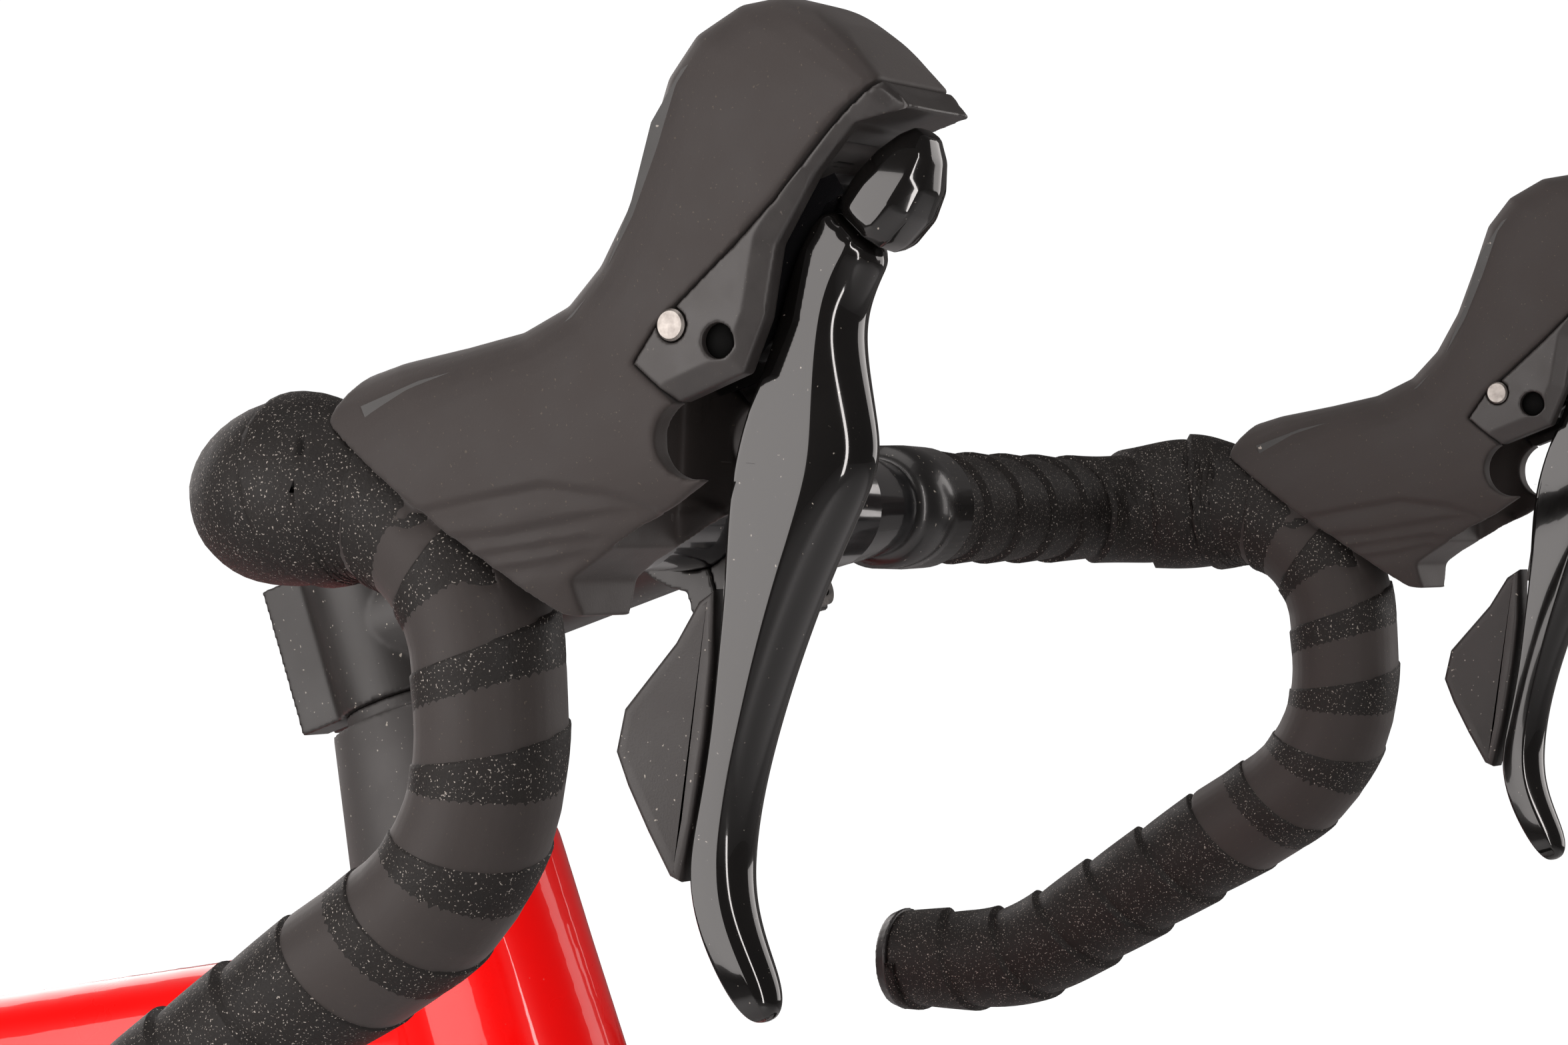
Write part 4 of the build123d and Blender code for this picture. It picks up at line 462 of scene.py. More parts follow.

# ---------------------------------------------------------------- fork, headset and axles
# The fork is one hollow moulding in the frame's red. The headset cover is a matte cone over the
# upper bearing, with one thin spacer under the stem.
bm = bmesh.new()
tube(bm, [on_column(0.3560), on_column(0.3705)], [(0.0325, 0.0290), (0.0305, 0.0305)], count=40)
for side in (-1, 1):
    tube(bm, [on_column(0.3600, 0, side * 0.008), on_column(0.3520, 0, side * 0.024),
              on_column(0.3250, 0.001, side * 0.0330), on_column(0.200, 0.007, side * 0.0365),
              on_column(0.090, 0.025, side * 0.0485), FRONT_AXLE + SIDEWAYS * side * 0.0565],
         [(0.0200, 0.0240), (0.0150, 0.0215), (0.0098, 0.0185), (0.0076, 0.0145), (0.0070, 0.0118),
          (0.0062, 0.0110)], boxy=2.2)
    rod(bm, FRONT_AXLE + SIDEWAYS * side * 0.0502, FRONT_AXLE + SIDEWAYS * side * 0.0628, 0.0130)
painted_fork = piece_from("painted_fork", bm, frame_red)
mould(painted_fork, voxel=0.0018, rounds=5)
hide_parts("fork_blades")
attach(painted_fork, "steering")

cover_grey = finish("cover_grey", (0.052, 0.048, 0.047), (0.040, 0.037, 0.036), 0.52, relief_scale=1300.0,
                    relief_depth=0.00003, mote_share=0.09)
softened("headset_cover", "steering", cover_grey, ["headset_spacers"], voxel=0.0007)
dress(grey_alloy, "fork_steerer", "frame_bearings")
dress(black_alloy, "front_thru_axle", "rear_thru_axle")

# ---------------------------------------------------------------- stem and handlebar
# Forged and machined aluminium in dull black: a neck with a split clamp round the steerer, and a
# four-bolt faceplate on the bar, whose bare middle is polished black between the tape ends.
stem_black = finish("stem_black", (0.014, 0.0125, 0.012), (0.020, 0.018, 0.017), 0.42, relief_scale=1500.0,
                    relief_depth=0.00002, mote_share=0.09)
softened("forged_stem", "steering", stem_black, ["stem"], voxel=0.0007, rounds=3)
softened("bar_faceplate", "steering", stem_black, ["stem_faceplate"], voxel=0.0006)
softened("headset_top_cap", "steering", gloss_alloy, ["stem_top_cap"], voxel=0.0004)
dress(bolt_steel, "stem_bolts")
dress(gloss_alloy, "handlebar")

# ---------------------------------------------------------------- bar tape
# Cork-and-resin ribbon wound up each half of the bar from the plug, every turn lapping the last by
# a third, so that its edge stands as a thin spiral step. Flecks of the filler glint in it.
SIDES = {"right": -1, "left": 1}
BAR_MIDDLE = Vector((0.385806, 0.0, 0.915951))
TAPE_LOW, TAPE_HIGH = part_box("bar_tape")
TAPE_START = 0.080
TAPE_RADIUS = 0.01545
TAPE_WALL = 0.0026
TAPE_PITCH = 0.0195
TAPE_STEP = 0.0016
CLAMP_SWELL = 0.0044
CLAMP_DISTANCE = 0.141
CLAMP_SPREAD = 0.019
ROWS_PER_TURN = 26
POINTS_ROUND = 44
SAME_POINT = 2e-6
BAR_SIDE = 0.210
TAPED_HALF = 0.0155
BAR_FRONT = TAPE_HIGH.x - TAPED_HALF
DROP_LEVEL = TAPE_LOW.z + TAPED_HALF
BAR_END = TAPE_LOW.x
HOOK_FOOT = BAR_MIDDLE.z - 0.074
HEEL = BAR_END + 0.039
BEND_RADII = [0.040, 0.034, 0.045, 0.060]
ROUTE_STEP = 0.002


def rounded_route(corners, radii, step):
    """Points along a route of straight runs whose inner corners are arcs of the given radii."""
    route = [corners[0]]
    for index, radius in enumerate(radii, start=1):
        corner = corners[index]
        back = (corners[index - 1] - corner).normalized()
        on = (corners[index + 1] - corner).normalized()
        half_turn = back.angle(on) / 2
        reach = radius / math.tan(half_turn)
        middle = corner + (back + on).normalized() * (radius / math.sin(half_turn))
        begin, end = corner + back * reach - middle, corner + on * reach - middle
        parts = max(2, round(begin.angle(end) * radius / step))
        route += [middle + begin.slerp(end, part / parts) * radius for part in range(parts + 1)]
    route.append(corners[-1])
    return route


def along_route(route, distance):
    """Place and heading at a distance along a route."""
    for near, far in zip(route, route[1:]):
        length = (far - near).length
        if distance <= length:
            return near + (far - near) * (distance / length), (far - near).normalized()
        distance -= length
    return route[-1].copy(), (route[-1] - route[-2]).normalized()


def bar_route(side):
    """The middle line of one half of the bar, from its bare centre out and down to the plug."""
    across = side * BAR_SIDE
    corners = [
        Vector((BAR_MIDDLE.x, side * TAPE_START, BAR_MIDDLE.z)),
        Vector((BAR_MIDDLE.x, across, BAR_MIDDLE.z)),
        Vector((BAR_FRONT, across, BAR_MIDDLE.z - 0.004)),
        Vector((BAR_FRONT, across, HOOK_FOOT)),
        Vector((HEEL, across, DROP_LEVEL)),
        Vector((BAR_END, across, DROP_LEVEL)),
    ]
    return rounded_route(corners, BEND_RADII, ROUTE_STEP)


tape_cork = finish("tape_cork", (0.0062, 0.0048, 0.0043), (0.0110, 0.0088, 0.0078), 0.62, patch_scale=120.0,
                   mote_scale=2300.0, mote_share=0.155, mote_colour=(0.34, 0.31, 0.28), relief_scale=1400.0,
                   relief_depth=0.00022, specular=0.3)
for word, side in SIDES.items():
    route = bar_route(side)
    total = sum((far - near).length for near, far in zip(route, route[1:]))
    row_step = TAPE_PITCH / ROWS_PER_TURN
    rows = math.ceil((total + TAPE_PITCH) / row_step)
    bm = bmesh.new()
    grid = bmesh.ops.create_grid(bm, x_segments=rows, y_segments=POINTS_ROUND, size=0.5)["verts"]
    for point in grid:
        row = round((point.co.x + 0.5) * rows)
        share = point.co.y + 0.5
        distance = min(max((row - ROWS_PER_TURN * (1 - share)) * row_step, 0.0), total)
        place, heading = along_route(route, total - distance)
        from_clamp = (total - distance - CLAMP_DISTANCE) / CLAMP_SPREAD
        swell = CLAMP_SWELL * math.exp(-from_clamp * from_clamp)
        lap = (row % ROWS_PER_TURN) / ROWS_PER_TURN
        lift = TAPE_STEP * (lap ** 0.7 if row % ROWS_PER_TURN else 0.0)
        out_y = UPWARD if abs(heading.y) > 0.02 else Vector((-heading.z, 0, heading.x))
        out_x = heading.cross(out_y).normalized()
        out_y = out_x.cross(heading).normalized()
        turn = 2 * math.pi * share
        reach = TAPE_RADIUS - TAPE_STEP + lift + swell
        point.co = place + (out_x * math.cos(turn) + out_y * math.sin(turn)) * reach
        point.co.z += swell / 2
    bmesh.ops.remove_doubles(bm, verts=bm.verts, dist=SAME_POINT)
    bmesh.ops.dissolve_degenerate(bm, edges=bm.edges, dist=SAME_POINT)
    bmesh.ops.recalc_face_normals(bm, faces=bm.faces)
    tape = piece_from(f"{word}_bar_tape", bm, tape_cork)
    wall = tape.modifiers.new("wall", "SOLIDIFY")
    wall.thickness = TAPE_WALL
    wall.offset = -1.0
    settle(tape)
    tape.data.shade_smooth()
    if side < 0:
        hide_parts("bar_tape")
    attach(tape, "steering")

# ---------------------------------------------------------------- tape bands and end plugs
# A turn of black vinyl band holds each tape's inner end down on the bar beside the stem. Moulded
# plugs pushed into the bar's ends hold the tape's first turns.
BAND_HALF = 0.011
BAND_PROFILE = [
    (-0.9, 0.0126), (-0.8, TAPE_RADIUS + 0.0008), (0.3, TAPE_RADIUS + 0.0011), (1.4, TAPE_RADIUS + 0.0008),
]
band_vinyl = finish("band_vinyl", (0.008, 0.008, 0.008), (0.013, 0.012, 0.012), 0.30, relief_scale=500.0,
                    relief_depth=0.00004, coat=0.2)
bm = bmesh.new()
for side in SIDES.values():
    rings = []
    for reach, radius in BAND_PROFILE:
        place = Vector((BAR_MIDDLE.x, side * (TAPE_START + reach * BAND_HALF), BAR_MIDDLE.z))
        rings.append(ring(bm, place, FORWARD, UPWARD, radius, radius, count=48))
    loft(bm, rings)
bands = piece_from("tape_end_bands", bm, band_vinyl)
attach(bands, "steering")
plug_plastic = finish("plug_plastic", (0.012, 0.011, 0.011), (0.020, 0.018, 0.018), 0.38, relief_scale=1200.0,
                      relief_depth=0.00003)
softened("end_plugs", "steering", plug_plastic, ["bar_end_plugs"], voxel=0.0005)

# ---------------------------------------------------------------- lever hoods
# Thick moulded rubber stretched over each lever's plastic body: a rounded grip that laps the tape
# at the rear, a tall faceted horn, a mouth for the lever, and flutes low on the side to bend at.
MM = 0.001
PIN = {word: Vector(JOINTS[f"{word}_brake_pull"]["pos_m"]) for word in SIDES}
THROUGH = 0.030
# Each section of the hood runs from a point on its upper outline to one on its lower outline, both
# measured from the lever's pin in millimetres, with its half width and how square it is.
HOOD_SECTIONS = [
    ((-92.0, -6.4), (-24.5, -57.0), 16.2, 2.0), ((-84.0, -4.4), (-22.0, -54.0), 16.6, 2.1),
    ((-70.0, -1.4), (-17.0, -47.0), 16.9, 2.3), ((-54.0, 0.4), (-6.0, -40.0), 16.9, 2.6),
    ((-40.0, 2.4), (8.0, -36.0), 16.8, 2.8), ((-29.0, 6.6), (24.0, -31.0), 16.7, 3.0),
    ((-21.0, 13.6), (34.0, -20.0), 16.6, 3.2), ((-14.5, 23.6), (42.0, -5.0), 16.4, 3.2),
    ((-9.4, 35.5), (46.0, 10.0), 16.2, 3.0), ((-4.6, 47.0), (50.0, 21.0), 15.9, 3.1),
    ((2.2, 54.2), (52.0, 26.6), 15.6, 3.3), ((12.0, 58.6), (52.6, 30.0), 15.1, 3.4),
    ((21.0, 59.2), (51.6, 32.6), 14.4, 3.4), ((28.4, 56.8), (49.8, 34.6), 13.2, 3.4),
    ((34.4, 52.4), (47.8, 36.4), 11.8, 3.2), ((39.4, 46.8), (45.6, 38.4), 10.2, 2.9),
]
# Side outlines about the pin, in millimetres: the mouth for the lever, the recess for the side
# cover, the rubber's rear and lower edges, and the room that the lever swings in.
HOOD_MOUTH = [
    (-1.5, -16.2), (1.0, -13.0), (13.0, -8.5), (17.5, 0.5), (20.5, 13.5), (29.4, 26.0), (37.4, 34.2),
    (46.0, 36.0), (60, 37.4), (75, 40), (75, -60), (16, -60), (8.6, -26.0), (8.0, -17.0), (4.0, -15.8),
]
COVER_RECESS = [
    (-9.2, -6.4), (-3.8, 0.2), (4.7, 6.8), (13.6, 13.8), (22.2, 21.2), (28.8, 28.4), (36.4, 35.8),
    (44.0, 41.0), (56.0, 42.0), (56.0, 35.8), (47.0, 34.7), (38.4, 33.0), (30.6, 25.0), (22.2, 13.0),
    (19.2, 0.0), (14.3, -10.0), (0.0, -14.6),
]
REAR_EDGE = [
    (-110, 40), (-74.0, 2.0), (-79.0, -4.6), (-82.9, -9.3), (-84.1, -13.3), (-81.6, -17.6), (-75.4, -23.1),
    (-67.8, -30.3), (-60.2, -37.0), (-51.2, -43.3), (-42.2, -48.5), (-33.3, -51.6), (-27.0, -52.6),
    (-27.0, -80), (-110, -80),
]
LOWER_EDGE = [
    (-27.4, -52.4), (-27.8, -45.4), (-23.2, -42.6), (-11.1, -36.2), (-3.6, -33.0), (4.0, -28.6), (9.6, -25.0),
    (40, -10), (60, -80), (-30, -80),
]
LEVER_ROOM = [(-13, 11), (-15, -8), (-20, -60), (90, -60), (90, 34), (42, 34), (33, 31), (22, 27), (4, 15)]
ROOM_HALF = 0.0112
PIVOT_WINDOW = (2.4, -21.0)
PIVOT_WINDOW_RADIUS = 7.4
BORE_RADIUS = 0.0150
BORE_START = 0.145
BORE_STRIDE = 0.006
BORE_STEPS = 24
HOOD_VOXEL = 0.00062
# The flutes: each is a sharp step on its lower side, a soft fade above, and none near the middle.
FLUTES = [
    [(-62.4, -32.0), (-46.3, -29.9), (-30.1, -28.1), (-16.2, -30.3), (-8.0, -33.6)],
    [(-55.7, -37.1), (-39.4, -36.4), (-25.1, -34.6), (-12.9, -33.1)],
    [(-50.8, -40.6), (-38.1, -39.4), (-22.1, -38.0)],
    [(-47.0, -43.4), (-33.6, -42.4), (-24.0, -40.6)],
]
FLUTE_DEPTH = 0.0008
FLUTE_STEP_WIDTH = 0.8
FLUTE_FADE_WIDTH = 2.6
FLUTE_FLANK = 0.009


def beside_pin(word, point, across=0.0):
    """The place of a side-view point given in millimetres from a lever's pin."""
    return PIN[word] + Vector((point[0] * MM, across, point[1] * MM))


def from_pin(place):
    """The side-view point in millimetres from the right-hand pin, and how far across in metres."""
    pin = PIN["right"]
    return ((place.x - pin.x) / MM, (place.z - pin.z) / MM), place.y - pin.y


def slab(bm, outline, half):
    """Solid of a side outline about the right-hand pin, as far to either side of the lever's centre."""
    points = [bm.verts.new(beside_pin("right", point, -half)) for point in outline]
    face = bm.faces.new(points)
    grown = bmesh.ops.extrude_face_region(bm, geom=[face])["geom"]
    moved = [item for item in grown if isinstance(item, bmesh.types.BMVert)]
    bmesh.ops.translate(bm, verts=moved, vec=(0, 2 * half, 0))
    bmesh.ops.recalc_face_normals(bm, faces=bm.faces)


def carve(piece, bm, operation="DIFFERENCE"):
    """Cuts a bmesh out of a piece, or keeps only what is inside it."""
    tool = piece_from("tool", bm)
    cut = piece.modifiers.new("cut", "BOOLEAN")
    cut.object = tool
    cut.operation = operation
    cut.solver = "EXACT"
    settle(piece)
    bpy.data.objects.remove(tool)


def carve_outline(piece, outline, half, operation="DIFFERENCE"):
    """Cuts a side outline out of a right-hand piece, or keeps only what is inside it."""
    bm = bmesh.new()
    slab(bm, outline, half)
    carve(piece, bm, operation)


def carve_bar_bore(piece):
    """Makes room in a right-hand piece for the taped bar."""
    line = bar_route(SIDES["right"])
    bm = bmesh.new()
    bore = []
    for step in range(BORE_STEPS):
        place, heading = along_route(line, BORE_START + step * BORE_STRIDE)
        upward = heading.cross(SIDEWAYS).normalized()
        bore.append(ring(bm, place, SIDEWAYS, upward, BORE_RADIUS, BORE_RADIUS, count=36))
    loft(bm, bore)
    carve(piece, bm)


def fit_pair(piece, right_name, left_name, right_body, left_body, right_nodes=(), left_nodes=()):
    """Names a right-hand piece, mirrors it in the bicycle's centre plane, and fixes both to their bodies."""
    piece.name = right_name
    bm = bmesh.new()
    bm.from_mesh(piece.data)
    bmesh.ops.scale(bm, verts=bm.verts, vec=(1, -1, 1))
    bmesh.ops.reverse_faces(bm, faces=bm.faces)
    twin = piece_from(left_name, bm, *piece.data.materials)
    for made, body, nodes in ((piece, right_body, right_nodes), (twin, left_body, left_nodes)):
        if nodes:
            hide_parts(*nodes)
        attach(made, body)


def grip_shape(bm):
    """The outer form of the right-hand hood and its side covers together."""
    sections = []
    for top, foot, half, boxy in HOOD_SECTIONS:
        top, foot = beside_pin("right", top), beside_pin("right", foot)
        sections.append(ring(bm, (top + foot) / 2, SIDEWAYS, (top - foot).normalized(), half * MM,
                             (top - foot).length / 2, count=40, boxy=boxy))
    loft(bm, sections)


def strip_distance(point, line):
    """Distance in millimetres from a side-view point to a line about the pin, and which side it is on."""
    best, side = 1e9, 1.0
    for (ax, az), (bx, bz) in zip(line, line[1:]):
        dx, dz = bx - ax, bz - az
        share = min(max(((point[0] - ax) * dx + (point[1] - az) * dz) / (dx * dx + dz * dz), 0.0), 1.0)
        gap = math.hypot(point[0] - ax - share * dx, point[1] - az - share * dz)
        if gap < best:
            best = gap
            side = math.copysign(1.0, dx * (point[1] - az) - dz * (point[0] - ax))
    return best, side


hood_rubber = finish("hood_rubber", (0.031, 0.0255, 0.0240), (0.037, 0.0305, 0.0285), 0.60, specular=0.28,
                     sheen=0.1, patch_scale=60.0, mote_scale=1700.0, mote_share=0.09,
                     mote_colour=(0.08, 0.065, 0.050), relief_scale=1500.0, relief_depth=0.00005)
bm = bmesh.new()
grip_shape(bm)
hood = piece_from("hood", bm, hood_rubber)
window = []
for turn in range(0, 360, 10):
    angle = math.radians(turn)
    window.append((PIVOT_WINDOW[0] + PIVOT_WINDOW_RADIUS * math.cos(angle),
                   PIVOT_WINDOW[1] + PIVOT_WINDOW_RADIUS * math.sin(angle)))
carve_outline(hood, HOOD_MOUTH, THROUGH)
carve_outline(hood, LEVER_ROOM, ROOM_HALF)
for outline in (COVER_RECESS, REAR_EDGE, LOWER_EDGE, window):
    carve_outline(hood, outline, THROUGH)
carve_bar_bore(hood)
mould(hood, voxel=HOOD_VOXEL, rounds=6)
for vertex in hood.data.vertices:
    spot, across = from_pin(vertex.co)
    if abs(across) < FLUTE_FLANK:
        continue
    dent = 0.0
    for flute in FLUTES:
        gap, turned = strip_distance(spot, flute)
        width = FLUTE_STEP_WIDTH if turned > 0 else FLUTE_FADE_WIDTH
        dent = max(dent, math.exp(-((gap / width) ** 2)))
    vertex.co.y -= math.copysign(dent * FLUTE_DEPTH, across)
fit_pair(hood, "right_hood", "left_hood", "steering", "steering", ["lever_hoods"])

# ---------------------------------------------------------------- lever brackets
# The body inside each hood that carries the lever and its hydraulic cylinder: glass-filled nylon,
# moulded hollow for the lever, and clamped round the bar by a steel band under the rubber.
LEVER_BODY_OUTLINE = [
    (-74, -10), (-60, -6), (-40, -3), (-28, 1), (-17, 10), (-10, 24), (-5, 38), (2, 47), (12, 52), (22, 51),
    (30, 46), (32, 38), (27, 29), (19, 14), (16, 0), (8, -8), (-8, -12), (-16, -24), (-30, -37), (-44, -39),
    (-60, -30), (-70, -20),
]
LEVER_BODY_HALF = 0.0126
bracket_plastic = finish("bracket_plastic", (0.008, 0.0075, 0.007), (0.013, 0.012, 0.011), 0.45,
                         relief_scale=1100.0)
bm = bmesh.new()
slab(bm, LEVER_BODY_OUTLINE, LEVER_BODY_HALF)
bracket = piece_from("bracket", bm, bracket_plastic)
carve_outline(bracket, LEVER_ROOM, ROOM_HALF)
carve_bar_bore(bracket)
bracket.data.set_sharp_from_angle(angle=math.radians(35))
fit_pair(bracket, "right_lever_bracket", "left_lever_bracket", "steering", "steering",
         ["lever_brackets"])

# ---------------------------------------------------------------- side covers and pivot pins
# A stiff moulded cover is let into each hood round the lever's pivot and over the front of the
# horn. The pivot pin's bright end shows in a thin ring, beside the hole of the hidden bleed screw.
COVER_OUTLINE = [
    (-8.6, -6.5), (-3.6, -0.3), (4.9, 6.3), (13.8, 13.3), (22.5, 20.7), (29.2, 27.9), (36.6, 35.1),
    (44.1, 40.3), (55.6, 41.3), (55.6, 36.2), (46.8, 35.1), (38.2, 33.4), (30.3, 25.2), (21.9, 13.1),
    (18.9, 0.1), (14.1, -9.6), (0.0, -14.1),
]
COVER_FRONT = COVER_OUTLINE[:8:-1]
# The cover's front edge is bevelled: how wide in millimetres, and how steeply.
BEVEL_WIDTH = 4.2
BEVEL_SLOPE = 0.42
BLEED_HOLE = (9.7, -3.6)
BLEED_RADIUS = 0.0033
PIN_RADIUS = 0.0030
PIN_GAP = 0.00025
COVER_CLEAR = 0.0008
COVER_VOXEL = 0.00045
cover_plastic = finish("cover_plastic", (0.022, 0.0195, 0.019), (0.030, 0.0265, 0.025), 0.44,
                       patch_scale=80.0, mote_scale=1500.0, mote_share=0.08, mote_colour=(0.08, 0.07, 0.06),
                       relief_scale=1900.0, relief_depth=0.00003)
bm = bmesh.new()
grip_shape(bm)
cover = piece_from("cover", bm, cover_plastic)
carve_outline(cover, COVER_OUTLINE, THROUGH, "INTERSECT")
carve_outline(cover, LEVER_ROOM, ROOM_HALF + COVER_CLEAR)
for spot, radius in (((0, 0), PIN_RADIUS + PIN_GAP), (BLEED_HOLE, BLEED_RADIUS)):
    bm = bmesh.new()
    centre = beside_pin("right", spot)
    rod(bm, centre - SIDEWAYS * THROUGH, centre + SIDEWAYS * THROUGH, radius)
    carve(cover, bm)
mould(cover, voxel=COVER_VOXEL, rounds=1)
for vertex in cover.data.vertices:
    spot, across = from_pin(vertex.co)
    gap, _ = strip_distance(spot, COVER_FRONT)
    if gap < BEVEL_WIDTH and abs(across) > ROOM_HALF:
        inward = min((BEVEL_WIDTH - gap) * BEVEL_SLOPE * MM, abs(across) - ROOM_HALF)
        vertex.co.y -= math.copysign(inward, across)
fit_pair(cover, "right_side_cover", "left_side_cover", "steering", "steering",
         ["lever_side_covers"])

pin_steel = finish("pin_steel", (0.30, 0.28, 0.26), (0.24, 0.22, 0.205), 0.42, metallic=1.0,
                   patch_scale=500.0, mote_share=0.05, relief_scale=2500.0, relief_depth=0.00002)
PIN_FACE = 0.0171
PIN_ROOT = 0.0090
PIN_CHAMFER = 0.0005
bm = bmesh.new()
for word in SIDES:
    for end in (-1, 1):
        face = PIN[word] + SIDEWAYS * end * PIN_FACE
        root = PIN[word] + SIDEWAYS * end * PIN_ROOT
        stub = []
        for place, share in ((root, 1.0), (face - SIDEWAYS * end * PIN_CHAMFER, 1.0), (face, 0.86)):
            stub.append(ring(bm, place, FORWARD, UPWARD, PIN_RADIUS * share, PIN_RADIUS * share, count=40))
        loft(bm, stub)
pins = piece_from("pivot_pin_ends", bm, pin_steel)
pins.data.set_sharp_from_angle(angle=math.radians(30))
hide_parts("lever_pivot_pins")
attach(pins, "steering")

# Painted shade: a near-black plug that barely reflects, set just inside each bleed hole, stands for the shade
# in the hole's depth.
bleed_hole_painted_shade = finish("bleed_hole_painted_shade", (0.0012, 0.0012, 0.0012), (0.002, 0.002, 0.002), 0.8, specular=0.1,
                    mote_share=0.03)
BLEED_FACE = 0.0150
BLEED_ROOT = 0.0115
BLEED_SHADE_RADIUS = BLEED_RADIUS * 1.2
bm = bmesh.new()
for word in SIDES:
    for end in (-1, 1):
        centre = beside_pin(word, BLEED_HOLE)
        rod(bm, centre + SIDEWAYS * end * BLEED_FACE, centre + SIDEWAYS * end * BLEED_ROOT, BLEED_SHADE_RADIUS)
bores = piece_from("bleed_hole_shade_plugs", bm, bleed_hole_painted_shade)
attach(bores, "steering")

# ---------------------------------------------------------------- lever pivots and their caps
# A die-cast block swings on the pin inside each hood. A gloss black faceted cap is pressed on its
# nose, over the slanted pin that the blade turns on when it shifts.
CAP_RINGS = [
    ((28.6, 20.4), (38.0, 10.8), 7.0), ((30.0, 22.6), (40.6, 11.8), 8.4), ((32.6, 26.2), (45.2, 15.8), 8.0),
    ((37.0, 30.0), (47.8, 20.6), 6.8), ((41.4, 32.4), (48.6, 26.2), 5.2), ((44.6, 33.2), (47.8, 30.6), 3.4),
]
PIVOT_BLOCK = [
    (-5, 5), (4, 8), (13, 14), (22, 24), (29, 26), (31, 22.4), (27, 20.6), (21, 12), (17, 0), (11, -7),
    (1, -7),
]
PIVOT_BLOCK_HALF = 0.0048
PIVOT_HUB_RADIUS = 0.0060
PIVOT_HUB_HALF = 0.0088
gloss_paint = finish("gloss_paint", (0.0035, 0.0032, 0.0031), (0.0060, 0.0055, 0.0052), 0.10,
                     rough_swing=0.05, specular=0.25, coat=0.7, coat_roughness=0.025, patch_scale=45.0,
                     mote_scale=1300.0, mote_share=0.05, relief_scale=160.0, relief_depth=0.00001)
bm = bmesh.new()
rings = []
for rear, front, half in CAP_RINGS:
    rear, front = beside_pin("right", rear), beside_pin("right", front)
    rings.append(ring(bm, (rear + front) / 2, SIDEWAYS, (rear - front).normalized(), half * MM,
                      (rear - front).length / 2, count=10, boxy=2.6))
loft(bm, rings)
cap = piece_from("lever_cap", bm, gloss_paint)
corners = cap.modifiers.new("corners", "BEVEL")
corners.width = 0.0007
corners.segments = 3
corners.limit_method = "ANGLE"
corners.angle_limit = math.radians(12)
settle(cap)
cap.data.shade_smooth()
fit_pair(cap, "right_lever_cap", "left_lever_cap", "right_pivot_block", "left_pivot_block")
bm = bmesh.new()
slab(bm, PIVOT_BLOCK, PIVOT_BLOCK_HALF)
rod(bm, PIN["right"] - SIDEWAYS * PIVOT_HUB_HALF, PIN["right"] + SIDEWAYS * PIVOT_HUB_HALF, PIVOT_HUB_RADIUS,
    count=40)
casting = piece_from("pivot_casting", bm, gloss_alloy)
casting.data.set_sharp_from_angle(angle=math.radians(35))
fit_pair(casting, "right_pivot_casting", "left_pivot_casting", "right_pivot_block", "left_pivot_block",
         ["right_lever_pivot"], ["left_lever_pivot"])

# ---------------------------------------------------------------- brake levers
# A hollow-backed aluminium blade, forged and then painted deep gloss black: flat flanks, a rounded
# front, a wide shoulder under the pivot, and a thick tip hooked forward. It turns on the cap's pin.
# Each station runs from the blade's rear edge to its front, in millimetres from the pin, with its
# half width and how far the back is hollowed.
BLADE_STATIONS = [
    ((28.6, 20.6), (37.4, 10.6), 6.6, 0.0), ((24.6, 16.8), (34.4, 6.4), 7.0, 0.1),
    ((20.8, 10.2), (31.6, 1.0), 7.4, 0.3), ((18.0, 0.6), (30.6, -3.8), 7.8, 0.4),
    ((14.0, -8.4), (31.4, -10.8), 8.2, 0.5),
    ((9.6, -17.0), (32.8, -19.0), 8.6, 0.6), ((6.0, -28.0), (33.6, -26.6), 8.9, 0.7),
    ((4.4, -40.0), (28.6, -35.4), 8.8, 0.8), ((3.4, -50.0), (22.4, -45.4), 8.5, 0.8),
    ((1.2, -62.0), (15.6, -58.4), 8.0, 0.8), ((-1.0, -75.0), (9.2, -72.6), 7.4, 0.8),
    ((-4.4, -88.0), (4.4, -86.4), 6.8, 0.7), ((-8.0, -99.0), (2.1, -99.6), 6.3, 0.6),
    ((-7.6, -108.0), (2.5, -107.6), 5.9, 0.4), ((-5.2, -116.0), (4.6, -114.6), 5.4, 0.1),
    ((-1.4, -123.6), (6.9, -120.6), 4.9, 0.0), ((1.6, -127.8), (7.6, -125.2), 3.7, 0.0),
    ((3.4, -129.0), (6.2, -128.2), 1.6, 0.0),
]
# Round the blade's section from the rear edge of one flank: share of depth, share of width. The
# hollow points are the back's, and the creased ones keep the flanks' edges sharp.
BLADE_SECTION = [
    (0.00, -0.84), (0.03, -1.00), (0.34, -1.00), (0.60, -0.96), (0.80, -0.76), (0.94, -0.42), (1.00, 0.00),
    (0.94, 0.42), (0.80, 0.76), (0.60, 0.96), (0.34, 1.00), (0.03, 1.00), (0.00, 0.84), (0.46, 0.72),
    (0.52, 0.00), (0.46, -0.72),
]
HOLLOW_POINTS = (13, 14, 15)
CREASED_POINTS = {1: 0.8, 3: 0.55, 9: 0.55, 11: 0.8, 0: 0.7, 12: 0.7}
bm = bmesh.new()
crease = bm.edges.layers.float.new("crease_edge")
rings = []
for rear, front, half, hollow in BLADE_STATIONS:
    points = bmesh.ops.create_circle(bm, segments=len(BLADE_SECTION), radius=1.0)["verts"]
    rear, front = beside_pin("right", rear), beside_pin("right", front)
    for index, (point, (depth, width)) in enumerate(zip(points, BLADE_SECTION)):
        depth = depth * hollow if index in HOLLOW_POINTS else depth
        point.co = rear.lerp(front, depth) + SIDEWAYS * width * half * MM
    rings.append(points)
loft(bm, rings)
for near, far in zip(rings, rings[1:]):
    for index, amount in CREASED_POINTS.items():
        edge = bm.edges.get((near[index], far[index]))
        if edge is not None:
            edge[crease] = amount
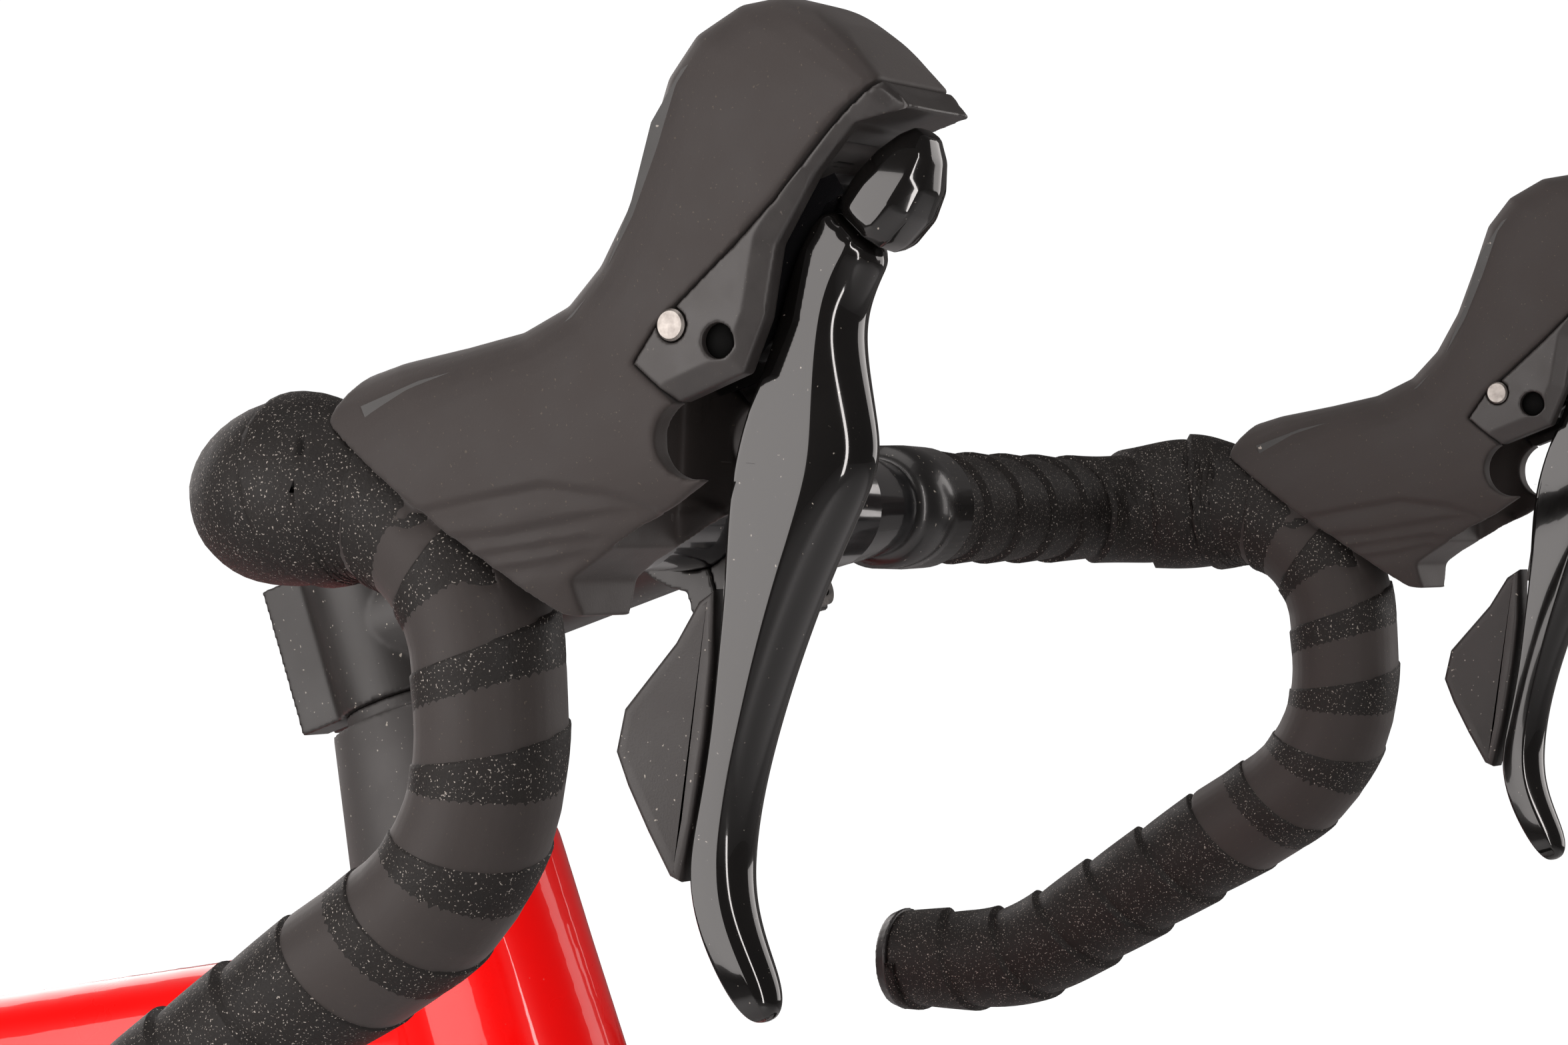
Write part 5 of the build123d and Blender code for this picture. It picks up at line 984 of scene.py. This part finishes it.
blade = piece_from("blade", bm, gloss_paint)
rounding = blade.modifiers.new("rounding", "SUBSURF")
rounding.levels = rounding.render_levels = 3
settle(blade)
blade.data.shade_smooth()
fit_pair(blade, "right_lever_blade", "left_lever_blade", "right_blade", "left_blade",
         ["right_brake_lever"], ["left_brake_lever"])

# ---------------------------------------------------------------- shift paddles
# Glass-filled nylon paddles on a short steel shaft behind each blade, with rounded edges and a
# slightly proud rim round a finely textured face.
PADDLE_OUTLINE = [
    (-0.9, -48.4), (-4.6, -50.5), (-10.0, -58.0), (-17.0, -65.0), (-22.0, -70.0), (-24.3, -78.0),
    (-22.0, -84.5), (-18.0, -93.0), (-13.5, -101.5), (-11.2, -102.6), (-7.7, -91.0), (-4.0, -75.0),
    (-1.8, -62.0),
]
PADDLE_HALF = 0.0042
PADDLE_EDGE = 0.0012
PADDLE_SINK = 0.00035
FLANK_AREA = 3e-4
SHAFT_OUTLINE = [(4.2, -34.0), (7.4, -33.6), (4.6, -51.0), (0.6, -51.6)]
SHAFT_HALF = 0.0024
paddle_plastic = finish("paddle_plastic", (0.025, 0.022, 0.021), (0.033, 0.029, 0.028), 0.50,
                        patch_scale=90.0, mote_scale=1100.0, mote_share=0.09, relief_scale=2100.0,
                        relief_depth=0.00006)
bm = bmesh.new()
slab(bm, PADDLE_OUTLINE, PADDLE_HALF)
flanks = [face for face in bm.faces if abs(face.normal.y) > 0.9]
bmesh.ops.bevel(bm, geom=[edge for face in flanks for edge in face.edges], offset=PADDLE_EDGE,
                affect="EDGES", segments=3, profile=0.5, material=-1)
flanks = [face for face in bm.faces if abs(face.normal.y) > 0.99 and face.calc_area() > FLANK_AREA]
bmesh.ops.inset_region(bm, faces=flanks, thickness=PADDLE_EDGE, depth=-PADDLE_SINK)
slab(bm, SHAFT_OUTLINE, SHAFT_HALF)
paddle = piece_from("paddle", bm, paddle_plastic)
paddle.data.set_sharp_from_angle(angle=math.radians(38))
fit_pair(paddle, "right_paddle_blade", "left_paddle_blade", "right_paddle", "left_paddle",
         ["right_shift_paddle"], ["left_shift_paddle"])

# ---------------------------------------------------------------- wheels
# Deep black rims laced with black steel spokes to sealed hubs, with clincher tyres of natural
# rubber. A thin steel disc is bolted to each hub on the left, inside its hydraulic caliper.
tyre_rubber = finish("tyre_rubber", (0.020, 0.019, 0.018), (0.034, 0.032, 0.030), 0.68, patch_scale=40.0,
                     relief_scale=900.0, relief_depth=0.00012, mote_share=0.12)
rim_black = finish("rim_black", (0.010, 0.010, 0.011), (0.018, 0.018, 0.018), 0.38, coat=0.3,
                   coat_roughness=0.2, relief_scale=600.0, relief_depth=0.00002)
for word in ("front", "rear"):
    dress(tyre_rubber, f"{word}_tyre")
    dress(rim_black, f"{word}_rim")
    dress(bolt_steel, f"{word}_spokes")
    dress(black_alloy, f"{word}_hub")
    dress(bright_steel, f"{word}_brake_rotor")
    dress(black_alloy, f"{word}_brake_caliper")

# ---------------------------------------------------------------- drivetrain
# Forged black cranks and mechanisms, two machined chainrings, a steel chain and cassette, and
# nylon pulleys, all bolted or riveted together.
dress(black_alloy, "right_crank", "left_crank", "rear_derailleur_knuckle", "rear_derailleur_link",
      "rear_derailleur_body", "front_derailleur_body")
dress(gloss_alloy, "right_pedal", "left_pedal", "rear_derailleur_cage")
dress(grey_alloy, "chainrings", "front_derailleur_cage")
dress(chain_steel, "chain")
dress(bright_steel, "cassette")
dress(paddle_plastic, "guide_pulley", "tension_pulley")

# ---------------------------------------------------------------- seat
# A foam-padded saddle with a stitched synthetic cover on steel rails, clamped to a carbon post
# that slides in the seat tube under an aluminium collar.
saddle_cover = finish("saddle_cover", (0.014, 0.013, 0.013), (0.024, 0.022, 0.021), 0.52, relief_scale=500.0,
                      relief_depth=0.00015)
padded_saddle = softened("padded_saddle", "seat_assembly", saddle_cover, ["saddle"],
                         voxel=0.0016, rounds=5)
dress(carbon_black, "seatpost")
dress(black_alloy, "seat_clamp")
